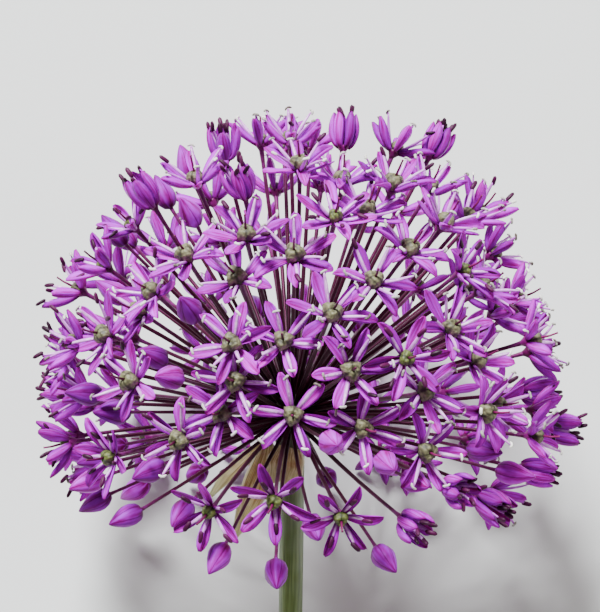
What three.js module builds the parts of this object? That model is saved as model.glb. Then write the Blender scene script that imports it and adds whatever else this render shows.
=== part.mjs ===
// An allium flower head, cut with a length of its stalk and laid down on a flat surface.
// Millimetres, +Z up. The head is laid out upright first, with x to the right, y up along the
// stalk and z to the front, from the point where all the pedicels meet. It is then tipped back
// until the cut end of the stalk and two florets at the back carry it.

import * as THREE from "three";

const DEGREE = Math.PI / 180;

// ---- Driving dimensions ----

const LYING_TILT = 28 * DEGREE; // how far the head is tipped back from upright
const HEAD_HEIGHT = 46; // of the pedicels' meeting point over the surface

const REACH_AT_EQUATOR = 47.3; // from the meeting point to an ovary
const REACH_AT_TOP = 55;
const REACH_AT_RIGHT = 49;
const REACH_AT_BOTTOM = 41;
const LOWEST_POLAR = 121 * DEGREE; // the umbel ends here, measured from the top

const RECEPTACLE_RADIUS = 5.2;
const ROOT_GAP = 0.3; // between the receptacle and the plates that join the pedicels' roots
const PLATE_THICKNESS = 0.7;
const PLATE_SAG = 0.3; // a flat plate lies this much nearer the middle than its roots
const ROOT_RADIUS = RECEPTACLE_RADIUS + ROOT_GAP + PLATE_THICKNESS + PLATE_SAG;
const ROOT_SPACING = 1.7;

const PEDICEL_ROOT_HALF = 0.38; // half thickness at the root
const PEDICEL_TOP_HALF = 0.5;

const TEPAL_LENGTH = 7.2;
const TEPAL_HALF_WIDTH = 1.2;
const TEPAL_THICKNESS = 0.7; // along the rib
const TEPAL_WIDEST = 0.46; // share of the length
const TEPAL_COUNT = 6;
const HUB_RADIUS = 1.2;
const TEPAL_EDGE_RISE = 0.35; // of the edges over the rib
const OVARY_HALF = { ripe: 1.78, young: 1.5, cup: 1.15 };

const OVARY_TO_FOOT = 1.8; // from the ovary's middle down to the tepals' foot
const BUD_TO_FOOT = 3.4;
const BUD_LENGTH = 7.3;
const BUD_HALF_WIDTH = 2.25;

const FLORET_GAP = 0.4; // least clearance between florets
const FLOOR_GAP = 1.0; // between the florets that carry nothing and the surface

const STALK_HALF_AT_TOP = 2.5;
const STALK_HALF_AT_CUT = 2.2;
const STALK_BOW = 1.6; // sideways, at the cut end
const STALK_SIDES = 12;

const BRACT_THICKNESS = 0.8;

// ---- The photograph that the florets are placed from ----

const MEETING_PIXEL = [292, 412];
const MM_PER_PIXEL = 0.197;
const CAMERA_DISTANCE = 560;
const CAMERA_ELEVATION = 12 * DEGREE;

// Pixels of the ovaries of open florets whose anthers have shed
const RIPE_PIXELS = [
  [260, 136], [397, 144], [300, 162], [347, 165], [194, 176], [433, 184], [371, 197], [484, 208],
  [448, 220], [421, 233], [245, 233], [295, 243], [497, 250], [184, 254], [232, 263], [375, 279],
  [146, 286], [486, 287], [74, 287], [117, 297], [512, 305], [331, 313], [454, 328], [103, 333],
  [283, 338], [529, 341], [233, 345], [77, 345], [485, 358], [352, 370], [232, 380], [128, 382],
  [427, 392], [504, 406], [477, 412], [214, 413], [293, 415], [367, 429], [178, 440], [428, 452],
  [392, 188], [496, 266], [537, 350],
];
// of open florets with dark anthers and yellow-green ovaries
const YOUNG_PIXELS = [
  [336, 214], [457, 275], [402, 360], [129, 221], [100, 262], [107, 458], [62, 443], [541, 410],
  [208, 513], [274, 502], [342, 519],
];
// of florets that are still cups
const CUP_PIXELS = [
  [345, 138], [223, 150], [243, 188], [155, 208], [408, 523], [450, 487], [487, 500], [75, 325],
];
// of the middles of closed buds
const BUD_PIXELS = [
  [192, 215], [225, 308], [187, 310], [95, 280], [128, 347], [162, 373], [85, 393], [102, 412],
  [88, 482], [78, 463], [140, 473], [127, 519], [168, 522], [219, 557], [274, 575], [315, 540],
  [384, 560], [328, 441], [383, 460], [423, 487], [490, 453], [513, 475],
];
// of florets on the far side that show past the front ones
const FAR_RIPE_PIXELS = [
  [311, 137], [284, 144], [210, 195], [275, 185], [322, 180], [145, 438], [470, 440], [420, 285],
  [515, 315],
];
const FAR_CUP_PIXELS = [[425, 165], [530, 392], [535, 425]];
const FAR_BUD_PIXELS = [[332, 488], [363, 325]];

// ---- The florets that carry the head, and those that fill the far side ----

const REST_SIDE = 18; // of each carrying floret from the middle
const REST_BEYOND = 13; // beyond the meeting point, away from the stalk
const FILL_TRIES = 420; // directions of a golden spiral over the whole ball
const FILL_SPACING = 11.2 * DEGREE; // least angle from a filling floret to any other
const FILL_JITTER = 0.06;
const RIM = 0.3; // a filling floret faces the camera less than this
const RIM_LOWEST = -0.24; // and is no lower than this where it faces it at all

// ---- Seeded random draws ----

let seed = 20411;

function draw(low, high) {
  seed = (Math.imul(1664525, seed) + 1013904223) >>> 0;
  return low + (high - low) * (seed / 4294967296);
}

// ---- Small vector helpers on plain [x, y, z] lists ----

const add = (a, b) => [a[0] + b[0], a[1] + b[1], a[2] + b[2]];
const subtract = (a, b) => [a[0] - b[0], a[1] - b[1], a[2] - b[2]];
const scale = (a, k) => [a[0] * k, a[1] * k, a[2] * k];
const dot = (a, b) => a[0] * b[0] + a[1] * b[1] + a[2] * b[2];
const cross = (a, b) => [
  a[1] * b[2] - a[2] * b[1],
  a[2] * b[0] - a[0] * b[2],
  a[0] * b[1] - a[1] * b[0],
];
const length = (a) => Math.sqrt(dot(a, a));
const unit = (a) => scale(a, 1 / length(a));
const clamp = (value, low, high) => Math.min(Math.max(value, low), high);

// Directions of the camera's axes, and of straight down once the head lies
const TO_CAMERA = [0, Math.sin(CAMERA_ELEVATION), Math.cos(CAMERA_ELEVATION)];
const CAMERA_UP = [0, Math.cos(CAMERA_ELEVATION), -Math.sin(CAMERA_ELEVATION)];
const LYING_UP = [0, Math.sin(LYING_TILT), Math.cos(LYING_TILT)];

// ---- Where the florets sit ----

// The ball is a little taller than it is wide, and fuller on the right.
function reachAlong(direction) {
  const [x, y] = direction;
  const polar = y > 0 ? REACH_AT_TOP : REACH_AT_BOTTOM;
  const sideways = (REACH_AT_RIGHT - REACH_AT_EQUATOR) * x;
  return REACH_AT_EQUATOR + (polar - REACH_AT_EQUATOR) * y * y + sideways;
}

// The point on the ball that a pixel shows: side 1 is the near half and -1 the far one.
function pointAtPixel(pixel, side) {
  const right = (pixel[0] - MEETING_PIXEL[0]) * MM_PER_PIXEL;
  const up = (MEETING_PIXEL[1] - pixel[1]) * MM_PER_PIXEL;
  let point = [0, 0, 0];
  let depth = 0;
  for (let step = 0; step < 8; step += 1) {
    const shrink = 1 - depth / CAMERA_DISTANCE;
    const flat = add([right * shrink, 0, 0], scale(CAMERA_UP, up * shrink));
    const reach = step === 0 ? REACH_AT_EQUATOR : reachAlong(unit(point));
    depth = side * Math.sqrt(Math.max(0, reach * reach - dot(flat, flat)));
    point = add(flat, scale(TO_CAMERA, depth));
  }
  return point;
}

// Two directions across an axis, so that side, other and axis are square to each other
function across(axis) {
  const reference = Math.abs(axis[1]) > 0.9 ? [0, 0, 1] : [0, 1, 0];
  const side = unit(cross(axis, reference));
  return [side, cross(axis, side)];
}

// A floret before it is placed: its kind, where its middle should be and its own random draws
function newFloret(kind, middle) {
  const toFoot = kind === "bud" ? BUD_TO_FOOT : OVARY_TO_FOOT;
  const direction = unit(middle);
  const [side, other] = across(direction);
  const lean = add(scale(side, draw(-0.13, 0.13)), scale(other, draw(-0.13, 0.13)));
  return {
    kind,
    direction,
    reach: length(middle) - toFoot,
    axis: unit(add(direction, lean)),
    turn: draw(0, 60) * DEGREE,
    spreadJitter: draw(-7, 7),
    size: draw(0.95, 1.06),
  };
}

// The angle of the tepals from the axis: the ones that face the camera lie open the widest.
function spreadOf(floret) {
  if (floret.kind === "cup") {
    return (20 + floret.spreadJitter * 0.5) * DEGREE;
  }
  const facing = Math.max(0, dot(floret.direction, TO_CAMERA));
  const base = floret.kind === "young" ? 46 : 52;
  return (base + 26 * facing + floret.spreadJitter) * DEGREE;
}

// The outline of one tepal in the plane of its rib: [outward, upward] steps from the foot
function tepalLine(floret) {
  const spread = spreadOf(floret);
  const bend = floret.kind === "cup" ? -10 * DEGREE : 22 * DEGREE;
  const whole = TEPAL_LENGTH * floret.size;
  const first = whole * TEPAL_WIDEST;
  const second = whole - first;
  const middle = [HUB_RADIUS + first * Math.sin(spread), 0.25 + first * Math.cos(spread)];
  const tip = [
    middle[0] + second * Math.sin(spread + bend),
    middle[1] + second * Math.cos(spread + bend),
  ];
  const normal = [-Math.cos(spread), Math.sin(spread)];
  return { middle, tip, normal };
}

// ---- Bones: straight pieces with an elliptical section, to test clearances with ----

function bone(a, b, flat, halfA, halfB, thinA, thinB) {
  const along = unit(subtract(b, a));
  return { a, b, flat, wide: cross(along, flat), halfA, halfB, thinA, thinB };
}

function floretBones(floret, reach, turn) {
  const foot = scale(floret.direction, reach);
  const [side, other] = across(floret.axis);
  const at = (angle, out, up) => {
    const radial = add(scale(side, Math.cos(angle)), scale(other, Math.sin(angle)));
    return add(foot, add(scale(radial, out), scale(floret.axis, up)));
  };
  const start = scale(floret.direction, 12);
  const bones = [bone(start, foot, side, 0.5, 0.5, 0.5, 0.5)];
  if (floret.kind === "bud") {
    const girth = BUD_HALF_WIDTH * floret.size;
    bones.push(bone(at(0, 0, 1), at(0, 0, 3.6), side, girth, girth, girth, girth));
    bones.push(bone(at(0, 0, 3.6), at(0, 0, BUD_LENGTH * floret.size), side, girth, 0.1, girth, 0.1));
    return bones;
  }
  bones.push(bone(at(0, 0, 0.8), at(0, 0, 3.2), side, 1.7, 1.0, 1.7, 1.0));
  const line = tepalLine(floret);
  const widest = TEPAL_HALF_WIDTH * floret.size;
  for (let k = 0; k < TEPAL_COUNT; k += 1) {
    const angle = turn + (k * 2 * Math.PI) / TEPAL_COUNT;
    const flat = subtract(at(angle, line.normal[0], line.normal[1]), foot);
    const root = at(angle, HUB_RADIUS, 0.25);
    const middle = at(angle, line.middle[0], line.middle[1]);
    const tip = at(angle, line.tip[0], line.tip[1]);
    bones.push(bone(root, middle, flat, 0.8, widest, 0.4, 0.55));
    bones.push(bone(middle, tip, flat, widest, 0.1, 0.55, 0.1));
  }
  return bones;
}

function halfAcross(piece, t, direction) {
  const half = piece.halfA + (piece.halfB - piece.halfA) * t;
  const thin = piece.thinA + (piece.thinB - piece.thinA) * t;
  return Math.hypot(half * dot(direction, piece.wide), thin * dot(direction, piece.flat));
}

// The clearance between two bones at the closest points of their middle lines
function clearance(first, second) {
  const alongFirst = subtract(first.b, first.a);
  const alongSecond = subtract(second.b, second.a);
  const offset = subtract(first.a, second.a);
  const a = dot(alongFirst, alongFirst);
  const e = dot(alongSecond, alongSecond);
  const b = dot(alongFirst, alongSecond);
  const c = dot(alongFirst, offset);
  const f = dot(alongSecond, offset);
  let s = clamp((b * f - c * e) / Math.max(a * e - b * b, 1e-9), 0, 1);
  const t = clamp((b * s + f) / e, 0, 1);
  s = clamp((b * t - c) / a, 0, 1);
  const gap = subtract(add(first.a, scale(alongFirst, s)), add(second.a, scale(alongSecond, t)));
  const distance = Math.max(length(gap), 1e-9);
  const direction = scale(gap, 1 / distance);
  return distance - halfAcross(first, s, direction) - halfAcross(second, t, direction);
}

function lowestOf(bones) {
  const heights = bones.map((piece) => Math.min(dot(piece.a, LYING_UP), dot(piece.b, LYING_UP)));
  return HEAD_HEIGHT + Math.min(...heights);
}

const NEIGHBOUR_DISTANCE = 17;
const SIZE_STEPS = [1, 0.93, 0.86];
const REACH_STEPS = [0, -1.3, 1.3, -2.6, 2.6, -3.9, 3.9, -5.2, -6.5, -9, -12];
const TURN_STEPS = 6;

// Tries sizes, pedicel lengths and turns in that order until the floret is clear of the others
// and of the surface, and keeps the clearest try where none is clear enough.
function placeFloret(floret, placed) {
  let best = null;
  const wantedSize = floret.size;
  for (const shrink of SIZE_STEPS) {
    for (const step of REACH_STEPS) {
      const reach = floret.reach + step;
      const foot = scale(floret.direction, reach);
      const near = placed.filter((one) => length(subtract(one.foot, foot)) < NEIGHBOUR_DISTANCE);
      for (let turnStep = 0; turnStep < TURN_STEPS; turnStep += 1) {
        const turn = floret.turn + (turnStep * 60 * DEGREE) / TURN_STEPS;
        floret.size = wantedSize * shrink;
        const bones = floretBones(floret, reach, turn);
        let least = lowestOf(bones) - FLOOR_GAP + FLORET_GAP;
        for (const one of near) {
          for (const mine of bones) {
            for (const theirs of one.bones) {
              least = Math.min(least, clearance(mine, theirs));
            }
          }
          if (best && least <= best.least) {
            break;
          }
        }
        if (!best || least > best.least) {
          best = { least, reach, turn, foot, bones, size: floret.size };
        }
        if (best.least >= FLORET_GAP) {
          return Object.assign(floret, best);
        }
      }
    }
  }
  return Object.assign(floret, best);
}

// A carrying floret grows until the lowest tip of its tepals is on the surface.
function placeCarrying(floret) {
  const over = lowestOf(floretBones(floret, floret.reach, floret.turn));
  const reach = floret.reach - over / dot(floret.direction, LYING_UP);
  const bones = floretBones(floret, reach, floret.turn);
  return Object.assign(floret, { reach, bones, foot: scale(floret.direction, reach), least: 9 });
}

// A direction that ends up below the lying head, at the given place on the surface
function carryingDirection(side) {
  const drop = Math.sqrt(REACH_AT_EQUATOR ** 2 - REST_SIDE ** 2 - REST_BEYOND ** 2);
  const beyond = [0, Math.cos(LYING_TILT), -Math.sin(LYING_TILT)];
  return unit(add(add([side * REST_SIDE, 0, 0], scale(beyond, REST_BEYOND)), scale(LYING_UP, -drop)));
}

function layOutFlorets() {
  const placed = [];
  const put = (kind, middle) => placed.push(placeFloret(newFloret(kind, middle), placed));
  for (const side of [-1, 1]) {
    const middle = scale(carryingDirection(side), REACH_AT_EQUATOR);
    placed.push(placeCarrying(newFloret("ripe", middle)));
  }
  RIPE_PIXELS.forEach((pixel) => put("ripe", pointAtPixel(pixel, 1)));
  YOUNG_PIXELS.forEach((pixel) => put("young", pointAtPixel(pixel, 1)));
  CUP_PIXELS.forEach((pixel) => put("cup", pointAtPixel(pixel, 1)));
  BUD_PIXELS.forEach((pixel) => put("bud", pointAtPixel(pixel, 1)));
  FAR_RIPE_PIXELS.forEach((pixel) => put("ripe", pointAtPixel(pixel, -1)));
  FAR_CUP_PIXELS.forEach((pixel) => put("cup", pointAtPixel(pixel, -1)));
  FAR_BUD_PIXELS.forEach((pixel) => put("bud", pointAtPixel(pixel, -1)));
  for (let k = 0; k < FILL_TRIES; k += 1) {
    const height = 1 - (2 * k + 1) / FILL_TRIES;
    const around = k * Math.PI * (3 - Math.sqrt(5));
    const ring = Math.sqrt(1 - height * height);
    const shift = [draw(-1, 1), draw(-1, 1), draw(-1, 1)];
    const kindDraw = draw(0, 1);
    const spot = [ring * Math.sin(around), height, ring * Math.cos(around)];
    const direction = unit(add(spot, scale(shift, FILL_JITTER)));
    const crowded = placed.some((one) => dot(one.direction, direction) > Math.cos(FILL_SPACING));
    const facing = dot(direction, TO_CAMERA);
    const lowest = facing > 0 ? RIM_LOWEST : Math.cos(LOWEST_POLAR);
    if (crowded || facing > RIM || direction[1] < lowest) {
      continue;
    }
    const young = direction[1] < -0.2 ? 0.55 : 0.12;
    const kind = kindDraw < young ? "bud" : kindDraw < young + 0.08 ? "cup" : "ripe";
    put(kind, scale(direction, reachAlong(direction)));
  }
  return placed;
}

// Spreads the pedicels' roots over the receptacle until none is closer than ROOT_SPACING.
function spreadRoots(florets) {
  let roots = florets.map((floret) => scale(floret.direction, ROOT_RADIUS));
  for (let round = 0; round < 60; round += 1) {
    const pushes = roots.map((root) =>
      roots.reduce((push, other) => {
        const apart = subtract(root, other);
        const distance = length(apart);
        if (distance < 1e-9 || distance > ROOT_SPACING) {
          return push;
        }
        return add(push, scale(apart, (0.5 * (ROOT_SPACING - distance)) / distance));
      }, [0, 0, 0]),
    );
    roots = roots.map((root, k) => scale(unit(add(root, pushes[k])), ROOT_RADIUS));
  }
  florets.forEach((floret, k) => {
    floret.root = roots[k];
  });
}

// ---- Solids ----

// A closed mesh from points and from faces that list them counter-clockwise from outside
function geometryFrom(points, faces) {
  const geometry = new THREE.BufferGeometry();
  geometry.setAttribute("position", new THREE.Float32BufferAttribute(points.flat(), 3));
  geometry.setIndex(faces.flat());
  return geometry;
}

// The band of faces between two rings of points that turn the same way
function band(lower, upper) {
  return lower.flatMap((_, k) => {
    const next = (k + 1) % lower.length;
    return [[lower[k], lower[next], upper[next]], [lower[k], upper[next], upper[k]]];
  });
}

// The same from a ring of three points to one of six, where point k is under points 2k and 2k + 1
function bandFromThree(lower, upper) {
  return lower.flatMap((_, k) => {
    const [here, beside, after] = [2 * k, 2 * k + 1, (2 * k + 2) % upper.length];
    return [
      [lower[k], upper[beside], upper[here]],
      [lower[k], lower[(k + 1) % 3], upper[beside]],
      [lower[(k + 1) % 3], upper[after], upper[beside]],
    ];
  });
}

// Adds one floret with its pedicel to a list of points and faces, open at the root, and returns
// the three points around the root. They lie in the plane of the plate that closes it.
function addFloret(floret, plate, points, faces) {
  const [side, other] = across(floret.axis);
  const addPoint = (point) => points.push(point) - 1;
  const radialAt = (angle) => add(scale(side, Math.cos(angle)), scale(other, Math.sin(angle)));
  const around = (angle, out, up) => {
    const outward = scale(radialAt(angle), out);
    return addPoint(add(floret.foot, add(outward, scale(floret.axis, up))));
  };
  const stepAngle = (2 * Math.PI) / TEPAL_COUNT;
  const corner = (k) => floret.turn + (k - 0.5) * stepAngle;
  const ring = (outs, up) => Array.from({ length: TEPAL_COUNT }, (_, k) =>
    around(corner(k), outs[k % outs.length], up),
  );
  const rootRing = [0, 2, 4].map((k) => {
    const flat = alongPlane(radialAt(corner(k)), plate.normal);
    return addPoint(add(floret.root, scale(unit(flat), PEDICEL_ROOT_HALF)));
  });

  if (floret.kind === "bud") {
    const girth = BUD_HALF_WIDTH * floret.size;
    const neck = ring([PEDICEL_TOP_HALF], 0);
    const low = ring([girth * 0.84], 1.5);
    const high = ring([girth, girth * 0.88], 3.7);
    const tip = around(0, 0, BUD_LENGTH * floret.size);
    faces.push(...bandFromThree(rootRing, neck), ...band(neck, low), ...band(low, high));
    high.forEach((point, k) => faces.push([point, high[(k + 1) % TEPAL_COUNT], tip]));
    return rootRing;
  }

  const plump = OVARY_HALF[floret.kind];
  const neck = ring([PEDICEL_TOP_HALF], -1.1);
  const under = ring([HUB_RADIUS - 0.1], -0.15);
  const upper = ring([HUB_RADIUS], 0.55);
  const belly = ring([plump, plump * 0.86], 0.35 + plump * 0.95);
  const crown = around(0, 0, 0.3 + plump * 1.75);
  faces.push(...bandFromThree(rootRing, neck), ...band(neck, under), ...band(upper, belly));
  belly.forEach((point, k) => faces.push([point, belly[(k + 1) % TEPAL_COUNT], crown]));

  const line = tepalLine(floret);
  const widest = TEPAL_HALF_WIDTH * floret.size;
  for (let k = 0; k < TEPAL_COUNT; k += 1) {
    const angle = floret.turn + k * stepAngle;
    const next = (k + 1) % TEPAL_COUNT;
    const alongNormal = (amount) => [
      line.middle[0] + line.normal[0] * amount,
      line.middle[1] + line.normal[1] * amount,
    ];
    const sideways = cross(floret.axis, radialAt(angle));
    const [edgeOut, edgeUp] = alongNormal(TEPAL_EDGE_RISE);
    const right = around(angle, edgeOut, edgeUp);
    const left = around(angle, edgeOut, edgeUp);
    points[right] = add(points[right], scale(sideways, -widest));
    points[left] = add(points[left], scale(sideways, widest));
    const tip = around(angle, line.tip[0], line.tip[1]);
    const ribAbove = around(angle, ...alongNormal(-0.05));
    const ribBelow = around(angle, ...alongNormal(-0.05 - TEPAL_THICKNESS));
    faces.push(
      [ribAbove, upper[k], right],
      [ribAbove, right, tip],
      [ribAbove, tip, left],
      [ribAbove, left, upper[next]],
      [ribAbove, upper[next], upper[k]],
      [ribBelow, right, under[k]],
      [ribBelow, tip, right],
      [ribBelow, left, tip],
      [ribBelow, under[next], left],
      [ribBelow, under[k], under[next]],
      [right, upper[k], under[k]],
      [upper[next], left, under[next]],
    );
  }
  return rootRing;
}

// ---- Sprays: neighbouring florets whose roots are joined by one thin plate ----

const SPRAY_SIZE = 4;
const LARGEST_SPRAY = 5;
const PLATE_MARGIN = 0.45; // from the middle of a root to the plate's edge
const PLATE_CORNERS = 6; // around each root, before the outline is drawn round them all
const PLATE_CLEARANCE = 1.2; // from a line between two roots to other roots and such lines
const PLATE_LONGEST = 3.7; // between two roots of a plate

// What is left of a direction in the plane across a normal
function alongPlane(direction, normal) {
  return subtract(direction, scale(normal, dot(direction, normal)));
}

function distanceBetween(first, second) {
  const thin = { halfA: 0, halfB: 0, thinA: 0, thinB: 0, flat: [0, 0, 1], wide: [1, 0, 0] };
  return clearance({ ...thin, ...first }, { ...thin, ...second });
}

// Two roots can share a plate if no other spray's root or plate is in the way between them.
function canJoin(first, second, spray, florets, links) {
  const link = { a: first.root, b: second.root };
  if (length(subtract(link.a, link.b)) > PLATE_LONGEST) {
    return false;
  }
  const clearOfRoots = florets.every((one) => {
    const stub = { a: one.root, b: scale(one.root, 1.2) };
    return one === second || spray.includes(one) || distanceBetween(link, stub) > PLATE_CLEARANCE;
  });
  const clearOfPlates = links.every((other) => {
    const shared = other.ends.some((one) => one === second || spray.includes(one));
    return shared || distanceBetween(link, other) > PLATE_CLEARANCE;
  });
  return clearOfRoots && clearOfPlates;
}

function groupIntoSprays(florets) {
  const links = [];
  const sprays = [];
  const loose = new Set(florets);
  const fits = (spray, floret) =>
    spray.every((one) => canJoin(one, floret, spray, florets, links));
  const join = (spray, floret) => {
    for (const one of spray) {
      links.push({ a: one.root, b: floret.root, ends: [one, floret] });
    }
    spray.push(floret);
    loose.delete(floret);
  };
  const farness = (spray, floret) =>
    spray.reduce((sum, one) => sum + length(subtract(one.root, floret.root)), 0) / spray.length;
  for (const floret of florets) {
    if (!loose.has(floret)) {
      continue;
    }
    const spray = [];
    join(spray, floret);
    while (spray.length < SPRAY_SIZE) {
      const byDistance = [...loose].sort((p, q) => farness(spray, p) - farness(spray, q));
      const found = byDistance.find((one) => fits(spray, one));
      if (!found) {
        break;
      }
      join(spray, found);
    }
    sprays.push(spray);
  }
  // Small sprays merge with the nearest ones that they can share a plate with.
  for (const small of sprays.filter((one) => one.length < SPRAY_SIZE)) {
    const found = sprays
      .filter((other) => other !== small && other.length > 0)
      .filter((other) => other.length + small.length <= LARGEST_SPRAY)
      .sort((p, q) => farness(p, small[0]) - farness(q, small[0]))
      .find((other) => small.every((one) => fits(other, one)));
    if (found && small.length > 0) {
      small.splice(0).forEach((one) => join(found, one));
    }
  }
  return sprays.filter((spray) => spray.length > 0);
}

// The plane of a spray's plate: through its roots, or square to their direction if they are two
function plateOf(spray) {
  const sum = spray.reduce((total, floret) => add(total, floret.root), [0, 0, 0]);
  const outward = unit(sum);
  let normal = outward;
  if (spray.length > 2) {
    const [p, q, r] = spray.map((floret) => floret.root);
    const square = unit(cross(subtract(q, p), subtract(r, p)));
    normal = scale(square, Math.sign(dot(square, outward)));
  }
  const [side, other] = across(normal);
  return { normal, side, other, height: dot(spray[0].root, normal) };
}

// The corners of the convex outline around flat points, counter-clockwise
function outlineAround(flatPoints) {
  const sorted = [...flatPoints].sort((p, q) => p.x - q.x || p.y - q.y);
  const half = (ordered) => {
    const kept = [];
    for (const point of ordered) {
      while (kept.length > 1) {
        const [p, q] = kept.slice(-2);
        if ((q.x - p.x) * (point.y - p.y) - (q.y - p.y) * (point.x - p.x) > 1e-6) {
          break;
        }
        kept.pop();
      }
      kept.push(point);
    }
    return kept.slice(0, -1);
  };
  return [...half(sorted), ...half([...sorted].reverse())];
}

// One spray as a single closed mesh: its florets, and the plate with their roots as holes in it
function sprayGeometry(spray) {
  const points = [];
  const faces = [];
  const plate = plateOf(spray);
  const flatten = (point) => new THREE.Vector2(dot(point, plate.side), dot(point, plate.other));
  const lift = (flat, height) => {
    const inPlane = add(scale(plate.side, flat.x), scale(plate.other, flat.y));
    return add(inPlane, scale(plate.normal, height));
  };
  for (const floret of spray) {
    floret.root = lift(flatten(floret.root), plate.height);
  }
  const rootRings = spray.map((floret) => addFloret(floret, plate, points, faces));
  const corners = spray.flatMap((floret) => {
    const middle = flatten(floret.root);
    return Array.from({ length: PLATE_CORNERS }, (_, k) => {
      const angle = (k * 2 * Math.PI) / PLATE_CORNERS;
      const reach = new THREE.Vector2(Math.cos(angle), Math.sin(angle)).multiplyScalar(PLATE_MARGIN);
      return reach.add(middle);
    });
  });
  const outline = outlineAround(corners);
  const top = outline.map((flat) => points.push(lift(flat, plate.height)) - 1);
  const bottom = outline.map((flat) => points.push(lift(flat, plate.height - PLATE_THICKNESS)) - 1);
  const holes = rootRings.map((ring) => ring.map((index) => flatten(points[index])));
  const flatPoints = [...outline, ...holes.flat()];
  const indices = [...top, ...rootRings.flat()];
  for (const face of THREE.ShapeUtils.triangulateShape(outline, holes)) {
    const turnsLeft = !THREE.ShapeUtils.isClockWise(face.map((k) => flatPoints[k]));
    const ordered = turnsLeft ? face : [...face].reverse();
    faces.push(ordered.map((k) => indices[k]));
  }
  faces.push(...band(bottom, top));
  for (let k = 1; k < bottom.length - 1; k += 1) {
    faces.push([bottom[0], bottom[k + 1], bottom[k]]);
  }
  return geometryFrom(points, faces);
}

// ---- The stalk with its receptacle, and the bracts ----

const STALK_LENGTH = (HEAD_HEIGHT - STALK_HALF_AT_CUT * Math.cos(LYING_TILT)) / Math.sin(LYING_TILT);
const NECK_DEPTH = 9; // below the meeting point, where the stalk has its own thickness

function stalkGeometry() {
  const profile = [new THREE.Vector2(0, -STALK_LENGTH)];
  for (let step = 0; step <= 6; step += 1) {
    const t = step / 6;
    const half = STALK_HALF_AT_CUT + (STALK_HALF_AT_TOP - STALK_HALF_AT_CUT) * t;
    profile.push(new THREE.Vector2(half, -STALK_LENGTH + (STALK_LENGTH - NECK_DEPTH) * t));
  }
  profile.push(new THREE.Vector2(STALK_HALF_AT_TOP + 0.5, -NECK_DEPTH + 2.5));
  for (let polar = 132; polar > 0; polar -= 22) {
    const angle = polar * DEGREE;
    const out = RECEPTACLE_RADIUS * Math.sin(angle);
    profile.push(new THREE.Vector2(out, RECEPTACLE_RADIUS * Math.cos(angle)));
  }
  profile.push(new THREE.Vector2(0, RECEPTACLE_RADIUS));
  const geometry = new THREE.LatheGeometry(profile, STALK_SIDES);
  const position = geometry.attributes.position;
  for (let k = 0; k < position.count; k += 1) {
    const down = Math.max(0, -position.getY(k)) / STALK_LENGTH;
    position.setX(k, position.getX(k) - STALK_BOW * down ** 2);
  }
  return geometry;
}

// A thin curled sheet along a curve: every section has two edges and a thicker middle.
function bractGeometry({ spine, halfWidths, facing, curl }) {
  const points = [];
  const faces = [];
  const curve = new THREE.CatmullRomCurve3(spine.map((point) => new THREE.Vector3(...point)));
  const stations = 7;
  const rings = [];
  for (let step = 0; step < stations; step += 1) {
    const t = step / (stations - 1);
    const middle = curve.getPoint(t).toArray();
    const along = curve.getTangent(t).toArray();
    const wide = unit(cross(along, facing));
    const out = cross(wide, along);
    const at = t * (halfWidths.length - 1);
    const first = Math.min(Math.floor(at), halfWidths.length - 2);
    const half = halfWidths[first] + (halfWidths[first + 1] - halfWidths[first]) * (at - first);
    const edge = (sign) => add(add(middle, scale(wide, sign * half)), scale(out, -curl * half));
    const section = [
      edge(-1),
      add(middle, scale(out, -BRACT_THICKNESS / 2)),
      edge(1),
      add(middle, scale(out, BRACT_THICKNESS / 2)),
    ];
    rings.push(section.map((point) => points.push(point) - 1));
  }
  for (let step = 1; step < stations; step += 1) {
    faces.push(...band(rings[step], rings[step - 1]));
  }
  const [a, b, c, d] = rings[0];
  const [e, f, g, h] = rings[stations - 1];
  faces.push([a, b, c], [a, c, d], [e, g, f], [e, h, g]);
  return geometryFrom(points, faces);
}

const BRACTS = {
  spathe_bract_broad: {
    spine: [[-0.6, -6.2, 4.0], [-1.4, -9.4, 4.6], [-2.2, -13.2, 5.6]],
    halfWidths: [2.6, 3.9, 3.2],
    facing: [-0.2, 0, 1],
    curl: 0.3,
  },
  spathe_bract_curled: {
    spine: [[-4.15, -6, -0.4], [-7.8, -10.2, -0.8], [-11.6, -14.2, 0], [-14.4, -17.8, 1.2]],
    halfWidths: [1.2, 1.7, 1.5, 0.6],
    facing: [0.2, 0.6, 0.8],
    curl: 0.25,
  },
  spathe_bract_long: {
    spine: [[-4.7, -6, 1.4], [-6.6, -13, 1.6], [-9, -19, 2.2], [-11.4, -25, 2.6]],
    halfWidths: [1.2, 2.8, 2.2, 0.5],
    facing: [-0.25, 0, 1],
    curl: 0.25,
  },
};

// ---- The whole head ----

const head = new THREE.Group();

function addPiece(name, geometry, material) {
  const mesh = new THREE.Mesh(geometry, material);
  mesh.name = name;
  head.add(mesh);
}

const florets = layOutFlorets();
spreadRoots(florets);
const tepalViolet = new THREE.MeshStandardMaterial({ color: 0xa340bc, roughness: 0.55, metalness: 0 });
groupIntoSprays(florets).forEach((spray, k) => {
  const number = String(k + 1).padStart(2, "0");
  addPiece(`floret_spray_${number}`, sprayGeometry(spray), tepalViolet);
});

const stalkGreen = new THREE.MeshStandardMaterial({ color: 0x7f8f70, roughness: 0.5, metalness: 0 });
addPiece("scape", stalkGeometry(), stalkGreen);

const bractTan = new THREE.MeshStandardMaterial({ color: 0xb8a070, roughness: 0.8, metalness: 0 });
for (const [name, shape] of Object.entries(BRACTS)) {
  addPiece(name, bractGeometry(shape), bractTan);
}

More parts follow.
